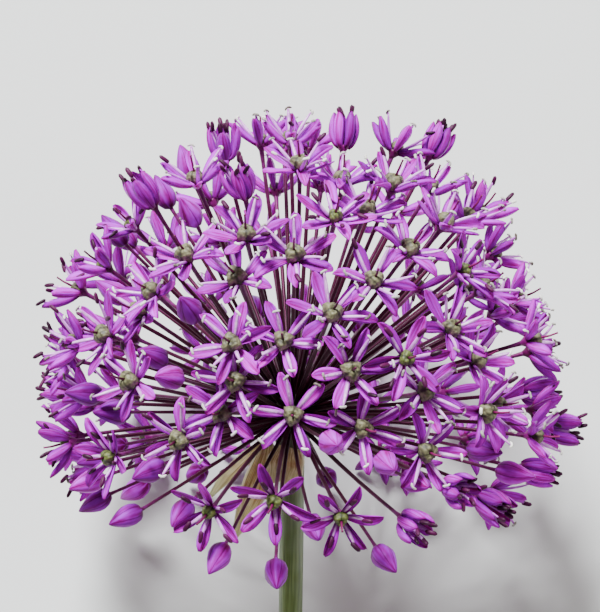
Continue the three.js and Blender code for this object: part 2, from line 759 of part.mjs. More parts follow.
// The head is laid down, and moved so that the box around it stands over the origin.
head.rotation.x = LYING_TILT;
head.position.z = HEAD_HEIGHT;
const group = new THREE.Group();
group.add(head);
group.updateMatrixWorld(true);
const box = new THREE.Box3().setFromObject(group, true);
group.position.set(-(box.min.x + box.max.x) / 2, -(box.min.y + box.max.y) / 2, 0);

export default group;
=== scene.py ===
# %% [markdown]
# # An allium flower head
# An allium's flower head is an umbel: about 150 small starry florets, each on a stalk of its own
# (a pedicel), and all the pedicels spring from one little dome (the receptacle) on top of a bare
# green stalk (the scape). The lesson makes each organ of a floret as a small mesh, some of them in
# several variants, and lets Geometry Nodes set the organs on points. The points come from a rule
# that seats every floret.

# %% Load the fixed frame
import math
import random

import bmesh
import bpy
import numpy as np
from mathutils import Matrix, Vector


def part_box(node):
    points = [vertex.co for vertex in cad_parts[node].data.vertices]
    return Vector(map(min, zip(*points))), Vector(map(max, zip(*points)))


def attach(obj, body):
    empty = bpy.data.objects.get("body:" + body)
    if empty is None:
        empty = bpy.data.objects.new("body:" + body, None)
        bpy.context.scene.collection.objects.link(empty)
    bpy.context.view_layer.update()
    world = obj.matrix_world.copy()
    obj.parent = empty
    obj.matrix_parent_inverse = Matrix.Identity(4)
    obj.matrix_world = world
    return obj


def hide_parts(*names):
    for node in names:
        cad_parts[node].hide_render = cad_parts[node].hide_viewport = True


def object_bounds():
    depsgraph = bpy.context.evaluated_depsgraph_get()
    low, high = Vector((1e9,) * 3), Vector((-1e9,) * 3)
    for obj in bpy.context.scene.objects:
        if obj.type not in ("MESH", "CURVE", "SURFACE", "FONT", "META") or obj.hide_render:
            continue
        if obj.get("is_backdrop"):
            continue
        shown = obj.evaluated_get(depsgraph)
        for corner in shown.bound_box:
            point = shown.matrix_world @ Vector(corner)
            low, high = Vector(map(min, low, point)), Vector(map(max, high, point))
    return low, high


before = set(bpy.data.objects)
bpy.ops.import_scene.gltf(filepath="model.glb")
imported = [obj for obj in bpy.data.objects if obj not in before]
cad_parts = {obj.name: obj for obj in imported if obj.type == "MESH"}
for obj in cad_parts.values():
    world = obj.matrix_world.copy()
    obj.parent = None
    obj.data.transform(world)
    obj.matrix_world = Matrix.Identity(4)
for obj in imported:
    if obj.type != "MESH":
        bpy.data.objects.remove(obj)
cad_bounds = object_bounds()
print("frame:", len(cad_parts), "nodes")

# %% [markdown]
# ## Sizes
# All sizes are in millimetres while the florets are laid out, because a flower is measured that
# way, and turn into metres at the very end. The head is laid out upright: x to the right, y up
# along the scape, z to the front, from the point where the pedicels meet.

# %% Sizes of the head and of its florets
MM = 0.001
DEGREE = math.pi / 180

LYING_TILT = 28 * DEGREE
HEAD_HEIGHT = 46.0

REACH_AT_EQUATOR = 47.3
REACH_AT_TOP = 55.0
REACH_AT_RIGHT = 49.0
REACH_AT_BOTTOM = 41.0
LOWEST_POLAR = 121 * DEGREE

# Between the receptacle and the pedicels' roots, the solids have a gap and a thin plate that sags.
RECEPTACLE_RADIUS = 5.2
ROOT_GAP = 0.3
PLATE_THICKNESS = 0.7
PLATE_SAG = 0.3
ROOT_RADIUS = RECEPTACLE_RADIUS + ROOT_GAP + PLATE_THICKNESS + PLATE_SAG
ROOT_SPACING = 1.7

# While the florets are laid out, a tepal counts as widest a little below its middle.
TEPAL_LENGTH = 7.2
TEPAL_HALF_WIDTH = 1.2
TEPAL_WIDEST = 0.46
HUB_RADIUS = 1.2
OVARY_TO_FOOT = 1.8
BUD_TO_FOOT = 3.4
BUD_LENGTH = 7.3
BUD_HALF_WIDTH = 2.25
FLORET_GAP = 0.4
FLOOR_GAP = 1.0

STALK_HALF_AT_TOP = 2.5
STALK_HALF_AT_CUT = 2.2
STALK_BOW = 1.6
STALK_LENGTH = (HEAD_HEIGHT - STALK_HALF_AT_CUT * math.cos(LYING_TILT)) / math.sin(LYING_TILT)

# %% [markdown]
# ## The camera
# The camera stands a little above the head's equator, as a gardener looks at a flower. The head
# lies down here, so the same view looks steeply down on it.

# %% Camera directions in the head's own axes
MEETING_PIXEL = (292, 412)
PICTURE_SIZE = (600, 612)
MM_PER_PIXEL = 0.197
CAMERA_DISTANCE = 560.0
CAMERA_ELEVATION = 12 * DEGREE
TO_CAMERA = np.array([0, math.sin(CAMERA_ELEVATION), math.cos(CAMERA_ELEVATION)])
CAMERA_UP = np.array([0, math.cos(CAMERA_ELEVATION), -math.sin(CAMERA_ELEVATION)])
LYING_UP = np.array([0, math.sin(LYING_TILT), math.cos(LYING_TILT)])

# %% [markdown]
# ## Where the florets sit
# The florets that face the camera are placed by the pixel of each ovary, so the head has its own
# irregular pattern. Those behind fill a golden spiral. Each floret then tries a few sizes,
# pedicel lengths and turns until it is clear of its neighbours, just as real florets push past
# each other as they open.

# %% Pixels of the florets, by how far they have opened
RIPE_PIXELS = [
    (260, 136), (397, 144), (300, 162), (347, 165), (194, 176), (433, 184), (371, 197), (484, 208),
    (448, 220), (421, 233), (245, 233), (295, 243), (497, 250), (184, 254), (232, 263), (375, 279),
    (146, 286), (486, 287), (74, 287), (117, 297), (512, 305), (331, 313), (454, 328), (103, 333),
    (283, 338), (529, 341), (233, 345), (77, 345), (485, 358), (352, 370), (232, 380), (128, 382),
    (427, 392), (504, 406), (477, 412), (214, 413), (293, 415), (367, 429), (178, 440), (428, 452),
    (392, 188), (496, 266), (537, 350),
]
YOUNG_PIXELS = [
    (336, 214), (457, 275), (402, 360), (129, 221), (100, 262), (107, 458), (62, 443), (541, 410),
    (208, 513), (274, 502), (342, 519),
]
CUP_PIXELS = [
    (345, 138), (223, 150), (243, 188), (155, 208), (408, 523), (450, 487), (487, 500), (75, 325),
]
BUD_PIXELS = [
    (192, 215), (225, 308), (187, 310), (95, 280), (128, 347), (162, 373), (85, 393), (102, 412),
    (88, 482), (78, 463), (140, 473), (127, 519), (168, 522), (219, 557), (274, 575), (315, 540),
    (384, 560), (328, 441), (383, 460), (423, 487), (490, 453), (513, 475),
]
FAR_RIPE_PIXELS = [
    (311, 137), (284, 144), (210, 195), (275, 185), (322, 180), (145, 438), (470, 440), (420, 285),
    (515, 315),
]
FAR_CUP_PIXELS = [(425, 165), (530, 392), (535, 425)]
FAR_BUD_PIXELS = [(332, 488), (363, 325)]

# Two florets under the head carry it, this far to each side and beyond the meeting point.
REST_SIDE = 18.0
REST_BEYOND = 13.0
# The spiral fills what faces away from the camera, and the rim down to a little below the middle.
FILL_TRIES = 420
FILL_SPACING = 11.2 * DEGREE
FILL_JITTER = 0.06
RIM = 0.3
RIM_LOWEST = -0.24
# Most of the florets that hang low are still buds.
LOW = -0.2
BUD_SHARE_LOW = 0.55
BUD_SHARE = 0.12
CUP_SHARE = 0.08

# %% A seeded draw that gives the same florets every time
draw_state = 20411


def draw(low, high):
    global draw_state
    draw_state = (1664525 * draw_state + 1013904223) & 0xFFFFFFFF
    return low + (high - low) * (draw_state / 4294967296)


# %% Directions and points on the ball of florets
def unit(vector):
    return vector / math.sqrt(float(vector @ vector))


def across(axis):
    """Two directions square to an axis and to each other."""
    reference = np.array([0.0, 0, 1]) if abs(axis[1]) > 0.9 else np.array([0.0, 1, 0])
    side = unit(np.cross(axis, reference))
    return side, np.cross(axis, side)


def reach_along(direction):
    """The ball is a little taller than it is wide, and fuller on the right."""
    x, y, _ = direction
    polar = REACH_AT_TOP if y > 0 else REACH_AT_BOTTOM
    sideways = (REACH_AT_RIGHT - REACH_AT_EQUATOR) * x
    return REACH_AT_EQUATOR + (polar - REACH_AT_EQUATOR) * y * y + sideways


# Depth and reach depend on each other, and settle after a few passes.
PIXEL_PASSES = 8


def point_at_pixel(pixel, side):
    """The point on the ball that a pixel shows: side 1 is the near half and -1 the far one."""
    right = (pixel[0] - MEETING_PIXEL[0]) * MM_PER_PIXEL
    up = (MEETING_PIXEL[1] - pixel[1]) * MM_PER_PIXEL
    point = np.zeros(3)
    depth = 0.0
    for step in range(PIXEL_PASSES):
        shrink = 1 - depth / CAMERA_DISTANCE
        flat = np.array([right * shrink, 0, 0]) + CAMERA_UP * (up * shrink)
        reach = REACH_AT_EQUATOR if step == 0 else reach_along(unit(point))
        depth = side * math.sqrt(max(0.0, reach * reach - float(flat @ flat)))
        point = flat + TO_CAMERA * depth
    return point


# %% One floret before it is placed
TEPALS = 6
TEPAL_STEP = 60
AXIS_LEAN = 0.13
SPREAD_JITTER = 7
SIZE_RANGE = (0.95, 1.06)
SPREADS = {"cup": 20, "young": 46, "ripe": 52}
MORE_WHEN_FACING = 26
CUP_JITTER = 0.5


def new_floret(kind, middle):
    to_foot = BUD_TO_FOOT if kind == "bud" else OVARY_TO_FOOT
    direction = unit(middle)
    side, other = across(direction)
    lean = side * draw(-AXIS_LEAN, AXIS_LEAN) + other * draw(-AXIS_LEAN, AXIS_LEAN)
    return {
        "kind": kind,
        "direction": direction,
        "reach": math.sqrt(float(middle @ middle)) - to_foot,
        "axis": unit(direction + lean),
        "turn": draw(0, TEPAL_STEP) * DEGREE,
        "spread_jitter": draw(-SPREAD_JITTER, SPREAD_JITTER),
        "size": draw(*SIZE_RANGE),
    }


def spread_of(floret):
    """The angle of the tepals from the axis: the ones that face the camera lie open the widest."""
    base = SPREADS[floret["kind"]]
    if floret["kind"] == "cup":
        return (base + floret["spread_jitter"] * CUP_JITTER) * DEGREE
    facing = max(0.0, float(floret["direction"] @ TO_CAMERA))
    return (base + MORE_WHEN_FACING * facing + floret["spread_jitter"]) * DEGREE


# %% [markdown]
# To know whether two florets touch, each one is thought of as a few straight bones with an oval
# section: one for the pedicel, one for the ovary or two for a bud, and two for each tepal. A pair
# of numbers is the half width, or the half thickness, at a bone's start and end.

# %% Bones of a floret
PEDICEL_START = 12
PEDICEL_HALVES = (0.5, 0.5)
BUD_BASE = 1
BUD_SHOULDER = 3.6
OVARY_BASE = 0.8
OVARY_TOP = 3.2
OVARY_HALVES = (1.7, 1.0)
TEPAL_LIFT = 0.25
TEPAL_FOOT_HALF = 0.8
TEPAL_THINS = (0.4, 0.55)
TIP_HALF = 0.1
CUP_BEND = -10
OPEN_BEND = 22


def floret_bones(floret, reach, turn):
    foot = floret["direction"] * reach
    side, other = across(floret["axis"])
    lists = ([], [], [], [], [])

    def at(angle, out, up):
        radial = side * math.cos(angle) + other * math.sin(angle)
        return foot + radial * out + floret["axis"] * up

    def bone(start, end, flat, half, thin=None):
        for values, value in zip(lists, (start, end, flat, half, thin or half)):
            values.append(value)

    bone(floret["direction"] * PEDICEL_START, foot, side, PEDICEL_HALVES)
    if floret["kind"] == "bud":
        girth = BUD_HALF_WIDTH * floret["size"]
        shoulder = at(0, 0, BUD_SHOULDER)
        bone(at(0, 0, BUD_BASE), shoulder, side, (girth, girth))
        bone(shoulder, at(0, 0, BUD_LENGTH * floret["size"]), side, (girth, TIP_HALF))
    else:
        bone(at(0, 0, OVARY_BASE), at(0, 0, OVARY_TOP), side, OVARY_HALVES)
        middle, tip, normal = tepal_line(floret)
        widest = TEPAL_HALF_WIDTH * floret["size"]
        for k in range(TEPALS):
            angle = turn + k * math.pi / 3
            flat = at(angle, *normal) - foot
            elbow = at(angle, *middle)
            bone(at(angle, HUB_RADIUS, TEPAL_LIFT), elbow, flat, (TEPAL_FOOT_HALF, widest), TEPAL_THINS)
            bone(elbow, at(angle, *tip), flat, (widest, TIP_HALF), (TEPAL_THINS[1], TIP_HALF))
    starts, ends, flats, halves, thins = (np.array(values) for values in lists)
    along = ends - starts
    along = along / np.sqrt((along * along).sum(axis=1))[:, None]
    return dict(start=starts, end=ends, flat=flats, wide=np.cross(along, flats), half=halves, thin=thins)


def tepal_line(floret):
    """The middle and the tip of a tepal as outward and upward steps, and its upper side."""
    spread = spread_of(floret)
    bend = (CUP_BEND if floret["kind"] == "cup" else OPEN_BEND) * DEGREE
    whole = TEPAL_LENGTH * floret["size"]
    first = whole * TEPAL_WIDEST
    second = whole - first
    middle = (HUB_RADIUS + first * math.sin(spread), TEPAL_LIFT + first * math.cos(spread))
    tip = (
        middle[0] + second * math.sin(spread + bend),
        middle[1] + second * math.cos(spread + bend),
    )
    return middle, tip, (-math.cos(spread), math.sin(spread))


# %% The least clearance between two sets of bones
def half_across(bones, t, direction, axis):
    def widened(name):
        ends = np.expand_dims(bones[name], axis)
        return ends[..., 0] + (ends[..., 1] - ends[..., 0]) * t

    wide = (direction * np.expand_dims(bones["wide"], axis)).sum(axis=-1)
    flat = (direction * np.expand_dims(bones["flat"], axis)).sum(axis=-1)
    return np.hypot(widened("half") * wide, widened("thin") * flat)


def clearance(first, second):
    along_first = (first["end"] - first["start"])[:, None]
    along_second = (second["end"] - second["start"])[None]
    offset = first["start"][:, None] - second["start"][None]
    a = (along_first**2).sum(axis=-1)
    e = (along_second**2).sum(axis=-1)
    b = (along_first * along_second).sum(axis=-1)
    c = (along_first * offset).sum(axis=-1)
    f = (along_second * offset).sum(axis=-1)
    s = np.clip((b * f - c * e) / np.maximum(a * e - b * b, 1e-9), 0, 1)
    t = np.clip((b * s + f) / e, 0, 1)
    s = np.clip((b * t - c) / a, 0, 1)
    gap = offset + along_first * s[..., None] - along_second * t[..., None]
    distance = np.maximum(np.sqrt((gap**2).sum(axis=-1)), 1e-9)
    direction = gap / distance[..., None]
    least = distance - half_across(first, s, direction, 1) - half_across(second, t, direction, 0)
    return float(least.min())


def lowest_of(bones):
    ends = np.concatenate([bones["start"], bones["end"]])
    return HEAD_HEIGHT + float((ends @ LYING_UP).min())


# %% Place one floret among the others
NEIGHBOUR_DISTANCE = 17.0
SIZE_STEPS = [1, 0.93, 0.86]
REACH_STEPS = [0, -1.3, 1.3, -2.6, 2.6, -3.9, 3.9, -5.2, -6.5, -9, -12]
TURN_STEPS = 6
SAME = 1e-9


def tries_for(floret):
    """Every size, pedicel length and turn that a floret may try, in that order."""
    wanted = floret["size"]
    for shrink in SIZE_STEPS:
        for step in REACH_STEPS:
            for turn_step in range(TURN_STEPS):
                turn = floret["turn"] + (turn_step * TEPAL_STEP * DEGREE) / TURN_STEPS
                yield wanted * shrink, floret["reach"] + step, turn


def place_floret(floret, placed):
    best = None
    for size, reach, turn in list(tries_for(floret)):
        floret["size"] = size
        foot = floret["direction"] * reach
        bones = floret_bones(floret, reach, turn)
        least = lowest_of(bones) - FLOOR_GAP + FLORET_GAP
        for one in placed:
            gap = one["foot"] - foot
            if math.sqrt(float(gap @ gap)) < NEIGHBOUR_DISTANCE and (best is None or least > best["least"]):
                least = min(least, clearance(bones, one["bones"]))
        if best is None or least > best["least"] + SAME:
            best = dict(least=least, reach=reach, turn=turn, foot=foot, bones=bones, size=size)
        if best["least"] >= FLORET_GAP:
            break
    floret.update(best)
    return floret


def place_carrying(floret):
    """A carrying floret's pedicel grows until the lowest tip of its tepals is on the surface."""
    over = lowest_of(floret_bones(floret, floret["reach"], floret["turn"]))
    reach = floret["reach"] - over / float(floret["direction"] @ LYING_UP)
    bones = floret_bones(floret, reach, floret["turn"])
    floret.update(reach=reach, bones=bones, foot=floret["direction"] * reach)
    return floret


# %% Lay out every floret
def carrying_direction(side):
    drop = math.sqrt(REACH_AT_EQUATOR**2 - REST_SIDE**2 - REST_BEYOND**2)
    beyond = np.array([0, math.cos(LYING_TILT), -math.sin(LYING_TILT)])
    return unit(np.array([side * REST_SIDE, 0, 0]) + beyond * REST_BEYOND - LYING_UP * drop)


def lay_out_florets():
    placed = []

    def put(kind, middle):
        placed.append(place_floret(new_floret(kind, middle), placed))

    for side in (-1, 1):
        placed.append(place_carrying(new_floret("ripe", carrying_direction(side) * REACH_AT_EQUATOR)))
    for kind, pixels, side in (
        ("ripe", RIPE_PIXELS, 1),
        ("young", YOUNG_PIXELS, 1),
        ("cup", CUP_PIXELS, 1),
        ("bud", BUD_PIXELS, 1),
        ("ripe", FAR_RIPE_PIXELS, -1),
        ("cup", FAR_CUP_PIXELS, -1),
        ("bud", FAR_BUD_PIXELS, -1),
    ):
        for pixel in pixels:
            put(kind, point_at_pixel(pixel, side))
    for k in range(FILL_TRIES):
        height = 1 - (2 * k + 1) / FILL_TRIES
        around = k * math.pi * (3 - math.sqrt(5))
        ring = math.sqrt(1 - height * height)
        shift = np.array([draw(-1, 1), draw(-1, 1), draw(-1, 1)])
        kind_draw = draw(0, 1)
        spot = np.array([ring * math.sin(around), height, ring * math.cos(around)])
        direction = unit(spot + shift * FILL_JITTER)
        crowded = any(float(one["direction"] @ direction) > math.cos(FILL_SPACING) for one in placed)
        facing = float(direction @ TO_CAMERA)
        lowest = RIM_LOWEST if facing > 0 else math.cos(LOWEST_POLAR)
        if crowded or facing > RIM or direction[1] < lowest:
            continue
        bud_share = BUD_SHARE_LOW if direction[1] < LOW else BUD_SHARE
        kind = "bud" if kind_draw < bud_share else "cup" if kind_draw < bud_share + CUP_SHARE else "ripe"
        put(kind, direction * reach_along(direction))
    return placed


florets = lay_out_florets()
print("florets:", len(florets), "of them buds:", sum(one["kind"] == "bud" for one in florets))


# %% Spread the pedicels' roots over the receptacle
ROOT_PASSES = 60


def spread_roots(florets):
    """Roots that are too close push each other apart, over and over, and stay on the ball."""
    roots = np.array([one["direction"] * ROOT_RADIUS for one in florets])
    for _ in range(ROOT_PASSES):
        apart = roots[:, None] - roots[None]
        distance = np.sqrt((apart**2).sum(axis=-1))
        close = (distance > SAME) & (distance <= ROOT_SPACING)
        push = np.where(close, 0.5 * (ROOT_SPACING - distance) / np.maximum(distance, SAME), 0)
        roots = roots + (apart * push[..., None]).sum(axis=1)
        roots = roots / np.sqrt((roots**2).sum(axis=1))[:, None] * ROOT_RADIUS
    for floret, root in zip(florets, roots):
        floret["root"] = root


spread_roots(florets)

# %% [markdown]
# ## From the upright head to the lying one
# The frame says where the scape lies. The receptacle is its widest part, so the middle of its box
# is under the meeting point, and its far end is the rim of the cut, one stalk length away. One
# matrix then carries every point of the upright head to its place.

# %% The matrix that lays the head down
scape_low, scape_high = (np.array(corner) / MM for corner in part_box("scape"))
meeting_point = Vector((
    (scape_low[0] + scape_high[0]) / 2,
    scape_low[1] + STALK_LENGTH * math.cos(LYING_TILT) + STALK_HALF_AT_CUT * math.sin(LYING_TILT),
    HEAD_HEIGHT,
))
TO_WORLD = Matrix.Scale(MM, 4) @ Matrix.Translation(meeting_point) @ Matrix.Rotation(LYING_TILT, 4, "X")
print("meeting point in mm:", [round(value, 2) for value in meeting_point])


# %% [markdown]
# ## Which florets belong to which node
# The solids join neighbouring florets into sprays. A floret belongs to the node that has a corner
# at the tip of its last tepal, or at the tip of its bud.

# %% Match every floret with its spray
def corners_of(node):
    return np.array([tuple(vertex.co) for vertex in node.data.vertices])


def match_sprays(florets):
    sprays = {name: [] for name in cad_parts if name.startswith("floret_spray")}
    corners = {name: corners_of(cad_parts[name]) for name in sprays}
    worst = 0.0
    for floret in florets:
        tip = np.array(TO_WORLD @ Vector(floret["bones"]["end"][-1]))
        gaps = {name: np.sqrt(((points - tip) ** 2).sum(axis=1)).min() for name, points in corners.items()}
        nearest = min(gaps, key=gaps.get)
        worst = max(worst, gaps[nearest])
        sprays[nearest].append(floret)
    print("sprays:", len(sprays), "worst match in mm:", round(worst / MM, 4))
    return sprays


sprays = match_sprays(florets)

# %% [markdown]
# ## Colours
# Colours are written as the sRGB values that a painter would pick, and one function turns them
# into the linear values that the shader works with.


# %% Helpers for colours, nodes and materials
def colour(code):
    channels = [int(code[k : k + 2], 16) / 255 for k in (1, 3, 5)]
    linear = [c / 12.92 if c <= 0.04045 else ((c + 0.055) / 1.055) ** 2.4 for c in channels]
    return (*linear, 1.0)


def add_node(tree, kind, inputs=None, stops=(), **settings):
    """Adds a node with its options, its ramp's stops, and its inputs as values, nodes or outputs."""
    node = tree.nodes.new(kind)
    for name, value in settings.items():
        setattr(node, name, value)
    if stops:
        elements = node.color_ramp.elements
        while len(elements) < len(stops):
            elements.new(0.5)
        for element, (place, shade) in zip(elements, stops):
            element.position = place
            element.color = colour(shade) if isinstance(shade, str) else (shade, shade, shade, 1)
    for name, value in (inputs or {}).items():
        if isinstance(value, bpy.types.Node):
            value = value.outputs[0]
        if isinstance(value, bpy.types.NodeSocket):
            tree.links.new(value, node.inputs[name])
        else:
            node.inputs[name].default_value = value
    return node


def new_material(name):
    material = bpy.data.materials.new(name)
    material.use_nodes = True
    material.node_tree.nodes.clear()
    return material, material.node_tree


def with_finish(material, finish):
    """Hands the finish to a surface shader, and the shader to the material's output."""
    shader = add_node(material.node_tree, "ShaderNodeBsdfPrincipled", finish)
    add_node(material.node_tree, "ShaderNodeOutputMaterial", {0: shader})
    return material


def lay_over(tree, base, layers):
    """Lays colours over a base, each as strongly as its ramp says for the value that it reads."""
    for value, stops, shade in layers:
        share = add_node(tree, "ShaderNodeValToRGB", {0: value}, stops)
        mix = add_node(tree, "ShaderNodeMix", {0: share, 6: base, 7: colour(shade)}, data_type="RGBA")
        base = mix.outputs[2]
    return base


def off_line(tree, u, count=1.0, line=0.5):
    """How far u is from a line. The pattern repeats count times as u runs from 0 to 1."""
    turns = add_node(tree, "ShaderNodeMath", {0: u, 1: count}, operation="MULTIPLY")
    part = add_node(tree, "ShaderNodeMath", {0: turns}, operation="FRACT")
    beside = add_node(tree, "ShaderNodeMath", {0: part, 1: line}, operation="SUBTRACT")
    return add_node(tree, "ShaderNodeMath", {0: beside}, operation="ABSOLUTE")


# %% [markdown]
# ## Tepal skin
# A tepal is thin living tissue: violet-magenta pigment in long cells that run from foot to tip,
# over fine veins. The foot and the tip are darkest. The edges carry a painted highlight, and the
# cells carry a painted satin sheen in streaks over their own uneven colour. The pattern follows the
# blade, so it reads the blade's own UV map, with u across the blade and v along it. A bud is six
# such tepals pressed together, so its skin has six dark seams, painted shade where the tepals meet,
# where a tepal has one dark vein. On a bud the painted highlight runs along the middle of each tepal.


# %% Make the tepal material
def make_tepal_material(name, foot, shade, body, painted_sheen, seam, seams):
    material, tree = new_material(name)
    uv = add_node(tree, "ShaderNodeUVMap")
    split = add_node(tree, "ShaderNodeSeparateXYZ", {0: uv})
    u, v = split.outputs[0], split.outputs[1]
    tone = add_node(tree, "ShaderNodeAttribute", attribute_name="tone").outputs["Fac"]
    # Streaks are about 0.2 mm wide and 4 mm long on a blade 2.5 mm wide and 7.7 mm long.
    strands = add_node(tree, "ShaderNodeVectorMath", {0: uv, 1: (12.0, 1.8, 1.0)}, operation="MULTIPLY")
    own = add_node(tree, "ShaderNodeMath", {0: tone, 1: 60.0}, operation="MULTIPLY")
    aside = add_node(tree, "ShaderNodeCombineXYZ", {2: own})
    place = add_node(tree, "ShaderNodeVectorMath", {0: strands, 1: aside}, operation="ADD")
    cells = add_node(tree, "ShaderNodeTexNoise", {"Scale": 1.0, "Detail": 3.0, "Vector": place})
    # The streaks mix the cells' own darker and middle colours with a painted sheen at their light end.
    streaked = add_node(tree, "ShaderNodeValToRGB", {0: cells}, [(0.28, shade), (0.46, body), (0.72, painted_sheen)])
    # From here, each step lays one more colour over the last: where, how strong, and which.
    off_seam = off_line(tree, u, float(seams))
    layers = (
        (v, [(0.04, 0.9), (0.3, 0.0), (0.82, 0.0), (1.0, 0.55)], foot),
        # Painted highlight: along a tepal's edges, and halfway between a bud's seams, on its tepals'
        # ridges.
        (off_seam, [(0.28, 0.0), (0.48, 0.5)], painted_sheen),
        # A tepal's own dark vein. On a bud the same line is painted shade where two tepals meet.
        (off_seam, [(0.02, 0.65), (0.09, 0.0)], seam),
    )
    skin = lay_over(tree, streaked, layers)
    # No two blades have quite the same colour.
    hue = add_node(tree, "ShaderNodeMapRange", {0: tone, 3: 0.488, 4: 0.508})
    value = add_node(tree, "ShaderNodeMapRange", {0: tone, 3: 0.58, 4: 1.24})
    toned = add_node(tree, "ShaderNodeHueSaturation", {"Hue": hue, "Value": value, "Color": skin})
    rough = add_node(tree, "ShaderNodeMapRange", {0: cells, 3: 0.25, 4: 0.55})
    bump = add_node(tree, "ShaderNodeBump", {"Strength": 0.5, "Distance": 0.12 * MM, "Height": cells})
    finish = {
        "Base Color": toned,
        "Roughness": rough,
        "Normal": bump,
        "Subsurface Weight": 0.12,
        "Subsurface Radius": (1.0, 0.1, 0.5),
        "Subsurface Scale": 0.0009,
        "Specular IOR Level": 0.15,
        "Specular Tint": colour("#c070ff"),
    }
    return with_finish(material, finish)


# In order: foot, dark streak, body, painted sheen and highlight, seam.
TEPAL_COLOURS = ("#6a0034", "#8a0068", "#b800ba", "#d010fc", "#80006c")
BUD_COLOURS = ("#580032", "#7c0460", "#a008a0", "#bc24e0", "#520038")
tepal_skin = make_tepal_material("Tepal_violet", *TEPAL_COLOURS, seams=1)
bud_skin = make_tepal_material("Bud_violet", *BUD_COLOURS, seams=6)
print("materials:", tepal_skin.name, bud_skin.name)

# %% [markdown]
# ## Pedicel
# A pedicel is a smooth waxy stalk, almost black near the receptacle and purple towards the floret.
# The dark end is partly the stalk's own age and partly painted shade from deep inside the head. The
# tree hands on how far out each part of it is, and the material reads that number, so the change
# follows every stalk in whatever direction it grows.


# %% Make the pedicel skin
def make_pedicel_material():
    material, tree = new_material("Pedicel_maroon")
    outward = add_node(tree, "ShaderNodeAttribute", attribute_name="outward").outputs["Fac"]
    place = add_node(tree, "ShaderNodeTexCoord").outputs["Object"]
    # The mottle has a grain of 1.2 mm, a little more than the stalk is thick.
    grain = add_node(tree, "ShaderNodeTexNoise", {"Scale": 1 / (1.2 * MM), "Detail": 3.0, "Vector": place})
    drift = add_node(tree, "ShaderNodeMapRange", {0: grain, 3: -0.22, 4: 0.22})
    along = add_node(tree, "ShaderNodeMath", {0: outward, 1: drift}, operation="ADD")
    # Darkest near the receptacle: partly the stalk's age, partly painted shade.
    colours_along = [(0.3, "#22060f"), (0.7, "#3c0e24"), (0.9, "#521640"), (1.0, "#6a2060")]
    skin = add_node(tree, "ShaderNodeValToRGB", {0: along}, colours_along)
    rough = add_node(tree, "ShaderNodeMapRange", {0: grain, 3: 0.3, 4: 0.5})
    bump = add_node(tree, "ShaderNodeBump", {"Strength": 0.4, "Distance": 0.03 * MM, "Height": grain})
    finish = {
        "Base Color": skin,
        "Roughness": rough,
        "Normal": bump,
        "Specular IOR Level": 0.45,
        "Specular Tint": colour("#f890cc"),
    }
    return with_finish(material, finish)


pedicel_skin = make_pedicel_material()
print("material:", pedicel_skin.name)

# %% [markdown]
# ## Anthers, ovary, style and hub
# A shed anther is dry and pale, and a fresh one is a plump maroon sac. Both are two colours mixed by
# a fine grain, and so are the magenta style and the hub, the small knot that tepals and pedicel grow
# together in. The ovary is green to grey and covered in tiny warts, which a Voronoi pattern gives:
# each cell is a wart, and its border is the groove, darkened with painted shade.


# %% Make the small organs' finishes
def make_soft_material(name, dark, light, grain_mm, roughness, bump_mm):
    """Two colours mixed by a noise whose grain has a real size, with a bump of a real depth."""
    material, tree = new_material(name)
    place = add_node(tree, "ShaderNodeTexCoord").outputs["Object"]
    scale = 1 / (grain_mm * MM)
    grain = add_node(tree, "ShaderNodeTexNoise", {"Scale": scale, "Detail": 3.0, "Vector": place})
    tone = add_node(tree, "ShaderNodeAttribute", attribute_name="tone").outputs["Fac"]
    lightness = add_node(tree, "ShaderNodeMath", {0: grain, 1: tone}, operation="ADD")
    share = add_node(tree, "ShaderNodeMapRange", {0: lightness, 1: 0.5, 2: 1.5})
    skin = add_node(tree, "ShaderNodeMix", {0: share, 6: colour(dark), 7: colour(light)}, data_type="RGBA")
    rough = add_node(tree, "ShaderNodeMapRange", {0: grain, 3: roughness - 0.1, 4: roughness + 0.1})
    bump = add_node(tree, "ShaderNodeBump", {"Strength": 0.6, "Distance": bump_mm * MM, "Height": grain})
    finish = {"Base Color": skin.outputs[2], "Roughness": rough, "Normal": bump, "Specular IOR Level": 0.25}
    return with_finish(material, finish)


def make_ovary_material(name, groove_shade, knob):
    """Warts about 0.62 mm across, with painted shade in the grooves between them and in three deep furrows.
    """
    material, tree = new_material(name)
    uv = add_node(tree, "ShaderNodeUVMap")
    around = add_node(tree, "ShaderNodeSeparateXYZ", {0: uv}).outputs[0]
    off_furrow = off_line(tree, around, 3.0)
    place = add_node(tree, "ShaderNodeTexCoord").outputs["Object"]
    cells = {"Scale": 1 / (0.62 * MM), "Vector": place}
    warts = add_node(tree, "ShaderNodeTexVoronoi", cells, feature="SMOOTH_F1")
    grain = add_node(tree, "ShaderNodeTexNoise", {"Scale": 1 / (0.3 * MM), "Detail": 2.0, "Vector": place})
    height = add_node(tree, "ShaderNodeMapRange", {0: warts.outputs["Distance"], 3: 1.0, 4: 0.0})
    warty = add_node(tree, "ShaderNodeValToRGB", {0: height}, [(0.3, groove_shade), (0.62, knob)])
    dust = add_node(tree, "ShaderNodeMapRange", {0: grain, 3: 0.0, 4: 0.3})
    dusty = add_node(tree, "ShaderNodeMix", {0: dust, 6: warty, 7: colour(knob)}, data_type="RGBA")
    # The three furrows get the same painted shade.
    skin = lay_over(tree, dusty.outputs[2], [(off_furrow, [(0.04, 0.85), (0.16, 0.0)], groove_shade)])
    rough = add_node(tree, "ShaderNodeMapRange", {0: grain, 3: 0.45, 4: 0.7})
    bump = add_node(tree, "ShaderNodeBump", {"Strength": 0.9, "Distance": 0.3 * MM, "Height": height})
    return with_finish(material, {"Base Color": skin, "Roughness": rough, "Normal": bump})


